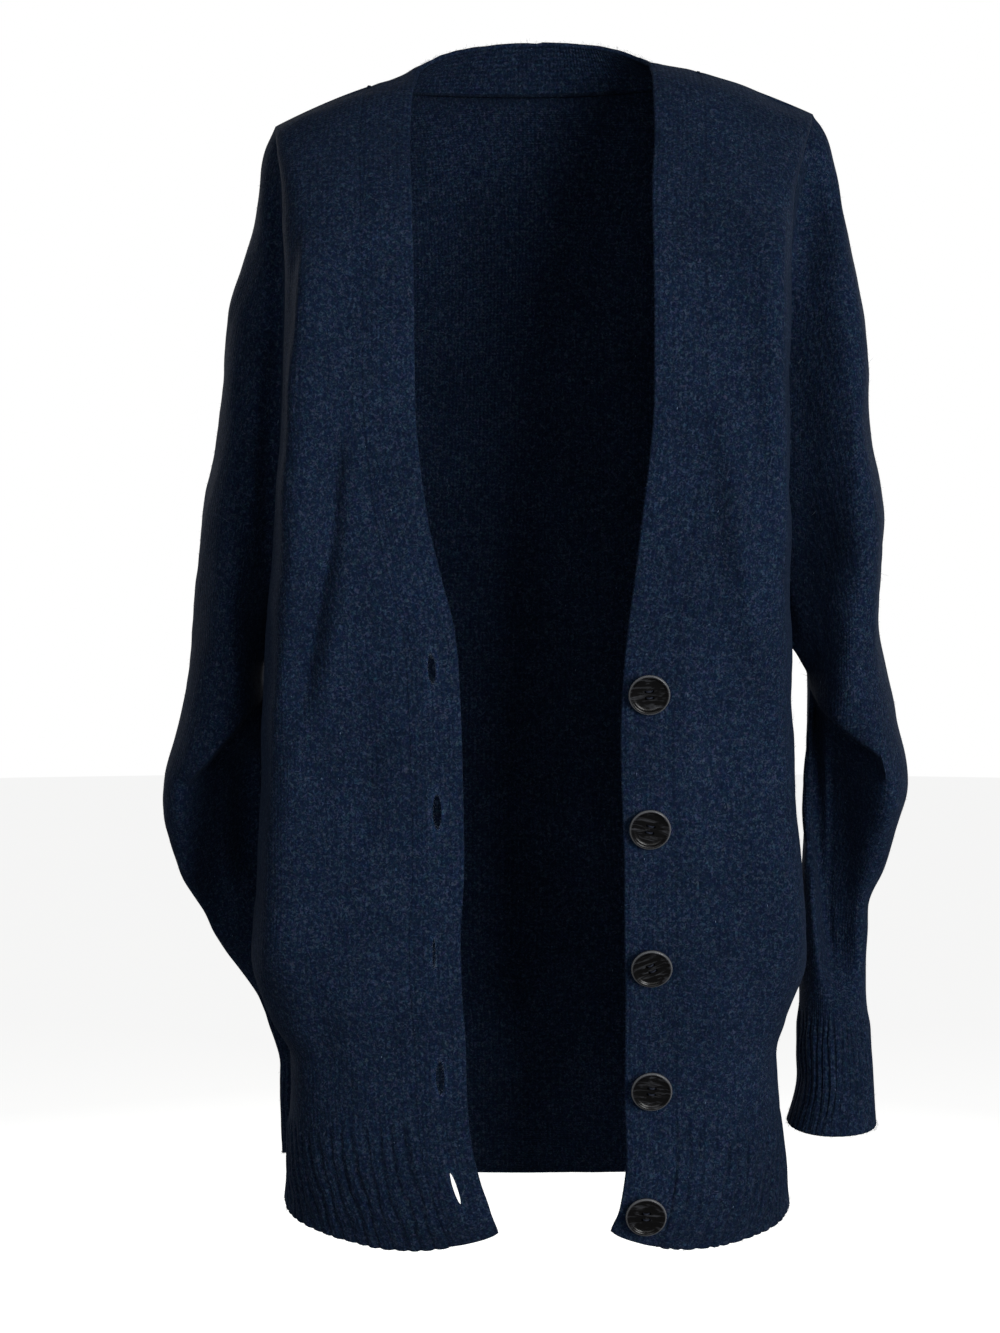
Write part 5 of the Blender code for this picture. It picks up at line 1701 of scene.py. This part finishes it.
class CARDIGAN_OT_cuffs(bpy.types.Operator):
    """Knit both ribbed cuffs"""

    bl_idname = "cardigan.cuffs"
    bl_label = "Cuffs"

    def execute(self, context):
        knit = context.scene.cardigan_knit
        for side, word in WORDS.items():
            piece = knit_piece(
                f"knit_cuff_{word}", cuff(side, knit), rib_materials(knit),
                f"cuff_{word}",
            )
        return {"FINISHED"}


class CARDIGAN_OT_bands(bpy.types.Operator):
    """Knit the front band and cut its five buttonholes"""

    bl_idname = "cardigan.bands"
    bl_label = "Front band"

    def execute(self, context):
        knit = context.scene.cardigan_knit
        for side, word in WORDS.items():
            piece = knit_piece(
                f"knit_band_{word}", band_wall(side, knit), band_materials(knit),
                f"band_{word}",
            )
            if side == RIGHT:
                cut_holes(piece)
        return {"FINISHED"}


RIDGE_RADIUS = 1.7
# How far in from the outer face each seam's ridge lies.
SIDE_INSET, ARMHOLE_INSET, SHOULDER_INSET, BAND_INSET, SLEEVE_INSET = 2.4, 2.2, 2.6, 3.7, 2.6


def seam_tubes():
    """Paths of the turned-in seam allowances inside: along each side and armhole, the shoulders,
    the band's seam, the back neck and the sleeves' own seams."""
    paths = []
    for side in (RIGHT, LEFT):
        rows = even_rows(0.05, UNDERARM, 90)[:, None]
        length = front_length(side, rows[:, 0])[:, None]
        paths.append(front_surface(side, rows, length)[:, 0] - (side * SIDE_INSET, 0, 0))
        turn = np.linspace(0, math.tau, 150)
        loop = armhole(side, turn)
        inwards = unit(loop.mean(0) - loop) * (0, 1, 1)
        paths.append(loop - (side * ARMHOLE_INSET, 0, 0) + 1.5 * inwards)
        shoulder = shoulder_line(side, np.linspace(0.0, 0.985, 40))
        paths.append(shoulder - (0, 0, SHOULDER_INSET))
        rows = even_rows(0.05, TOP, 180)[:, None]
        run = np.full_like(rows, BAND_WIDTH)
        beside = run + np.array([[-0.8, 0, 0.8]])
        grid = front_surface(side, rows + 0 * beside, beside)
        facing = grid_normals(grid, False, -side)
        paths.append(grid[:, 1] - BAND_INSET * facing[:, 1])
        neck = neck_seam(side, np.linspace(0.0, 1, 50))
        paths.append(neck - (0, 2.0, 1.2))
        ring = np.linspace(0.02, CUFF_END - 0.05, 170)
        under = sleeve_surface(side, ring[:, None], np.full((170, 1), math.pi))[:, 0]
        paths.append(under + (side * SLEEVE_INSET, 0, 0))
    return paths


class CARDIGAN_OT_seams(bpy.types.Operator):
    """Sew the seams: a soft turned-in ridge inside along each of them"""

    bl_idname = "cardigan.seams"
    bl_label = "Seams"

    def execute(self, context):
        knit = context.scene.cardigan_knit
        mesh = tube_mesh("seam_ridges", seam_tubes(), RIDGE_RADIUS)
        mesh.uv_layers.new(name="knit")
        mesh.attributes.new("relief", "FLOAT", "POINT")
        place_piece(mesh, [purl_side(knit)], [])
        return {"FINISHED"}


def button_solid(buttons):
    """The turned button with its four sewing holes cut by drills."""
    mesh = turned_solid("button_blank", BUTTON_PROFILE, 56)
    blank = bpy.data.objects.new("button_blank", mesh)
    bpy.context.scene.collection.objects.link(blank)
    bm = bmesh.new()
    reach = buttons.hole_spacing / math.sqrt(2)
    for i in range(4):
        turn = math.radians(45 + 90 * i)
        place = Matrix.Translation((reach * math.cos(turn), reach * math.sin(turn), 0))
        radius = buttons.hole_diameter / 2
        bmesh.ops.create_cone(
            bm, cap_ends=True, segments=14, radius1=radius, radius2=radius, depth=16 * MM,
            matrix=place,
        )
    drills = bpy.data.meshes.new("button_drills")
    bm.to_mesh(drills)
    bm.free()
    drill = bpy.data.objects.new("button_drills", drills)
    bpy.context.scene.collection.objects.link(drill)
    cut = blank.modifiers.new("sewing holes", "BOOLEAN")
    cut.operation = "DIFFERENCE"
    cut.object = drill
    bake_modifiers(blank)
    made = blank.data
    bpy.data.objects.remove(blank)
    bpy.data.objects.remove(drill)
    return made


def button_matrix(height):
    """On the left band, leaning forward at its top, its lowest rim just clear of the knit."""
    clear = BUTTON_RADIUS * math.sin(BUTTON_DROOP) + BUTTON_CLEAR
    lift = Matrix.Translation((0, 0, clear))
    return band_frame(LEFT, height) @ lift @ Matrix.Rotation(BUTTON_DROOP, 4, "X")


THREAD_RADIUS = 0.28
LANE = 0.22  # half the distance between the two threads of a stitch
STITCH_FOOT, STITCH_RISE = 0.65, 2.1  # a stitch's ends in the sewing holes, and its arch over them


def button_stitches(turned, spacing):
    """Paths of the threads over a button: two stitches, each of two threads side by side."""
    arc = np.linspace(0, 1, 11)
    across = (arc * 2 - 1) * spacing / 2
    up = STITCH_FOOT + STITCH_RISE * np.sin(arc * math.pi) ** 0.5
    for sign in (-1, 1):
        for lane in (-LANE, LANE):
            path = points(across, sign * spacing / 2 + lane, up)
            yield moved(path, turned)


def shank_threads(foot, base):
    """Paths of the four threads that hold a button off the knit."""
    for turn in np.arange(4) * math.tau / 4:
        shift = np.array([0.7 * math.cos(turn), 0.2, 0.7 * math.sin(turn)])
        yield np.linspace(np.array(foot) + shift, np.array(base) + shift, 4)


class CARDIGAN_OT_buttons(bpy.types.Operator):
    """Turn the five horn buttons and sew them on"""

    bl_idname = "cardigan.buttons"
    bl_label = "Buttons"

    def execute(self, context):
        buttons = context.scene.cardigan_buttons
        blank = button_solid(buttons)
        horn = shared_material("dark horn resin, tumbled", dark_horn, buttons)
        thread = shared_material("spun thread, navy", sewing_thread, tuple(buttons.thread))
        count = len(blank.vertices)
        local = np.empty(count * 3, np.float32)
        blank.vertices.foreach_get("co", local)
        local = local.reshape(-1, 3).astype(float) / MM
        corner = np.empty(len(blank.loops), np.int32)
        blank.loops.foreach_get("vertex_index", corner)
        stitches = []
        for number, (height, spin) in enumerate(zip(BUTTON_HEIGHTS, BUTTON_SPINS), 1):
            matrix = button_matrix(height)
            turned = matrix @ Matrix.Rotation(math.radians(spin), 4, "Z")
            mesh = blank.copy()
            mesh.name = f"button_horn_{number}"
            placed = moved(local, turned) * MM
            mesh.vertices.foreach_set("co", placed.astype(np.float32).ravel())
            grain = mesh.uv_layers.new(name="grain")
            flat = local[corner][:, :2] + (40 * number, 0)
            grain.data.foreach_set("uv", (flat * MM).astype(np.float32).ravel())
            radius = np.hypot(local[:, 0], local[:, 1])
            # Painted highlight: a lighter grey ring along the top of the rim.
            rim_gleam = np.exp(-(((radius - RIM_HIGHLIGHT_RADIUS) / RIM_HIGHLIGHT_WIDTH) ** 2)) * (local[:, 2] > 2)
            rubbed = mesh.attributes.new("rubbed", "FLOAT", "POINT")
            rubbed.data.foreach_set("value", rim_gleam.astype(np.float32))
            mesh.shade_smooth()
            mesh.set_sharp_from_angle(angle=math.radians(38))
            place_piece(mesh, [horn], [f"button_{number}"])
            stitches += button_stitches(turned, buttons.hole_spacing / MM)
            base = matrix @ Vector((0, 0, 0.2))
            foot = band_frame(LEFT, height) @ Vector((0, 0, -1.5))
            stitches += shank_threads(foot, base)
        bpy.data.meshes.remove(blank)
        threads = tube_mesh("button_threads", stitches, THREAD_RADIUS)
        place_piece(threads, [thread], [])
        return {"FINISHED"}


FRAY_LENGTH, LINT_LENGTH = 1.5, 6.0


def hole_rims():
    """Paths round each buttonhole, half a millimetre outside it and just above the knit."""
    paths = []
    for hole in BUTTONHOLES:
        across, up = leaf(hole.length + 1.0, hole.width + 1.2, 40)
        ring = np.stack([across, up, 0 * up + 0.35], -1)
        ring = np.concatenate([ring, ring[:1]])
        paths.append(moved(ring, band_frame(RIGHT, hole.height)))
    return paths


class CARDIGAN_OT_pile(bpy.types.Operator):
    """Raise the nap: loose fibres on the cloth, its free edges and round the buttonholes"""

    bl_idname = "cardigan.pile"
    bl_label = "Nap and loose fibres"

    def execute(self, context):
        knit = context.scene.cardigan_knit
        pile = context.scene.cardigan_pile
        length, thickness = pile.length / MM, pile.thickness / MM
        walls = [(back_panel(knit), 1)]
        lines = []
        for side in (RIGHT, LEFT):
            band = band_wall(side, knit)
            hem = front_rib(side, knit)
            end = cuff(side, knit)
            walls += [(front_panel(side, knit), -side), (sleeve_panel(side, knit), -side)]
            walls += [(band, -side), (hem, -side), (end, -side)]
            lines.append((band.outer[:, 0], unit(band.outer[:, 0] - band.outer[:, 1])))
            lines.append((hem.outer[0, ::4], unit(hem.outer[0] - hem.outer[1])[::4]))
            lines.append((end.outer[-1, ::4], unit(end.outer[-1] - end.outer[-2])[::4]))
        hem = back_rib(knit)
        lines.append((hem.outer[0, ::4], unit(hem.outer[0] - hem.outer[1])[::4]))
        material = shared_material("loose lambswool fibres", loose_fibre, tuple(pile.colour))
        made = surface_fibres(walls, pile.on_surface, length, 11)
        nap = fibre_mesh("nap_surface", *made, thickness)
        place_piece(nap, [material], [])
        made = edge_fibres(lines, pile.on_edges, length * 0.8, 12)
        edges = fibre_mesh("nap_edges", *made, thickness)
        place_piece(edges, [material], [])
        rims = [(path, unit(path.mean(0) - path)) for path in hole_rims()]
        made = edge_fibres(rims, pile.on_holes, FRAY_LENGTH, 13)
        frayed = fibre_mesh("buttonhole_fray", *made, thickness * 0.8)
        light = shared_material("frayed fibres, buttonholes", loose_fibre, tuple(pile.lint))
        place_piece(frayed, [light], [])
        made = surface_fibres(walls, pile.lint_count, LINT_LENGTH, 14)
        lint = fibre_mesh("pale_lint", *made, thickness * 1.4)
        place_piece(lint, [light], [])
        return {"FINISHED"}


# The camera and the soft square lamps, in metres. The camera is fitted to the photograph, whose
# scale is judged by the usual size of such buttons: nothing in it was measured.
GARMENT_MIDDLE = (0, 0, -0.37)
CAMERA_PLACE = (-0.02376, -2.0, -0.2475)
CAMERA_PITCH = 4.0866  # degrees below level
LENS, SENSOR = 82.05, 36.0  # millimetres
KEY_PLACE, KEY_SIZE = (1.1, -1.92, -0.08), 0.95
FILL_PLACE, FILL_SIZE = (-0.35, -2.9, 0.0), 1.2
BACK_PLACE, BACK_SIZE = (1.2, 2.5, 0.5), 1.5  # one lamp there and its mirror image
FLOOR_RADIUS, FLOOR_CORNERS = 9, 64


def aim(place, target):
    """The rotation that points an object's -Z from one place to another."""
    return (Vector(target) - Vector(place)).to_track_quat("-Z", "Y").to_euler()


def area_light(name, place, size, power):
    """A soft square lamp that points at the garment's middle and isn't seen itself."""
    lamp = bpy.data.lights.new(name, "AREA")
    lamp.shape = "RECTANGLE"
    lamp.size = lamp.size_y = size
    lamp.energy = power
    made = bpy.data.objects.new(name, lamp)
    made.location = place
    made.rotation_euler = aim(place, GARMENT_MIDDLE)
    made.visible_camera = False
    bpy.context.scene.collection.objects.link(made)


class CARDIGAN_OT_stage(bpy.types.Operator):
    """Set the pale floor, the soft light and the camera"""

    bl_idname = "cardigan.stage"
    bl_label = "Floor, light and camera"

    def execute(self, context):
        stage = context.scene.cardigan_stage
        scene = context.scene
        scene.view_settings.view_transform = "Standard"
        world = bpy.data.worlds.new("studio")
        scene.world = world
        world.use_nodes = True
        tree = world.node_tree
        tree.nodes.clear()
        ray = add_node(tree, "ShaderNodeLightPath")
        around = add_node(tree, "ShaderNodeBackground", _1=stage.ambient)
        behind = add_node(tree, "ShaderNodeBackground", _0=(*stage.backdrop, 1), _1=1.0)
        seen = add_node(
            tree, "ShaderNodeMixShader",
            [(0, ray, "Is Camera Ray"), (1, around, "Background"), (2, behind, "Background")],
        )
        add_node(tree, "ShaderNodeOutputWorld", [("Surface", seen, "Shader")])
        turn = np.arange(FLOOR_CORNERS) / FLOOR_CORNERS * math.tau
        rim = points(FLOOR_RADIUS * np.cos(turn), FLOOR_RADIUS * np.sin(turn), -stage.floor_drop)
        mesh = bpy.data.meshes.new("studio_floor")
        mesh.from_pydata(rim.tolist(), [], [tuple(range(FLOOR_CORNERS))])
        card = shared_material("white card, matt", studio_floor, tuple(stage.floor))
        mesh.materials.append(card)
        floor = bpy.data.objects.new("studio_floor", mesh)
        floor.visible_diffuse = False
        floor.visible_glossy = False
        scene.collection.objects.link(floor)
        area_light("key", KEY_PLACE, KEY_SIZE, stage.key)
        area_light("front fill", FILL_PLACE, FILL_SIZE, stage.fill)
        for side, word in WORDS.items():
            place = (side * BACK_PLACE[0], *BACK_PLACE[1:])
            area_light(f"back {word}", place, BACK_SIZE, stage.back)
        lens = bpy.data.cameras.new("camera")
        lens.lens = LENS
        lens.sensor_width = SENSOR
        lens.clip_end = 50
        camera = bpy.data.objects.new("camera", lens)
        camera.location = CAMERA_PLACE
        camera.rotation_euler = (math.radians(90 - CAMERA_PITCH), 0, 0)
        scene.collection.objects.link(camera)
        scene.camera = camera
        return {"FINISHED"}


class CARDIGAN_PT_panel(bpy.types.Panel):
    """Sizes, colours and the steps that make the cardigan"""

    bl_idname = "CARDIGAN_PT_panel"
    bl_label = "Felted wool cardigan"
    bl_space_type = "VIEW_3D"
    bl_region_type = "UI"
    bl_category = "Cardigan"

    def draw(self, context):
        for settings in GROUPS:
            box = self.layout.box()
            group = getattr(context.scene, settings)
            for name in group.__annotations__:
                box.prop(group, name)
        for operator in OPERATORS:
            self.layout.operator(operator.bl_idname)


OPERATORS = (
    CARDIGAN_OT_back,
    CARDIGAN_OT_fronts,
    CARDIGAN_OT_sleeves,
    CARDIGAN_OT_cuffs,
    CARDIGAN_OT_bands,
    CARDIGAN_OT_seams,
    CARDIGAN_OT_buttons,
    CARDIGAN_OT_pile,
    CARDIGAN_OT_stage,
)
GROUPS = {
    "cardigan_knit": KnitSettings,
    "cardigan_buttons": ButtonSettings,
    "cardigan_pile": PileSettings,
    "cardigan_stage": StageSettings,
}


def register():
    """Adds the settings to every scene, and the steps and the panel to the window."""
    for settings in GROUPS.values():
        bpy.utils.register_class(settings)
    for name, settings in GROUPS.items():
        setattr(bpy.types.Scene, name, PointerProperty(type=settings))
    for operator in OPERATORS:
        bpy.utils.register_class(operator)
    bpy.utils.register_class(CARDIGAN_PT_panel)


def unregister():
    """Takes away what register added, in the opposite order."""
    bpy.utils.unregister_class(CARDIGAN_PT_panel)
    for operator in reversed(OPERATORS):
        bpy.utils.unregister_class(operator)
    for name in GROUPS:
        delattr(bpy.types.Scene, name)
    for settings in GROUPS.values():
        bpy.utils.unregister_class(settings)


def main():
    """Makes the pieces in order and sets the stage."""
    register()
    bpy.ops.cardigan.back()
    bpy.ops.cardigan.fronts()
    bpy.ops.cardigan.sleeves()
    bpy.ops.cardigan.cuffs()
    bpy.ops.cardigan.bands()
    bpy.ops.cardigan.seams()
    bpy.ops.cardigan.buttons()
    bpy.ops.cardigan.pile()
    bpy.ops.cardigan.stage()


if __name__ == "__main__":
    main()
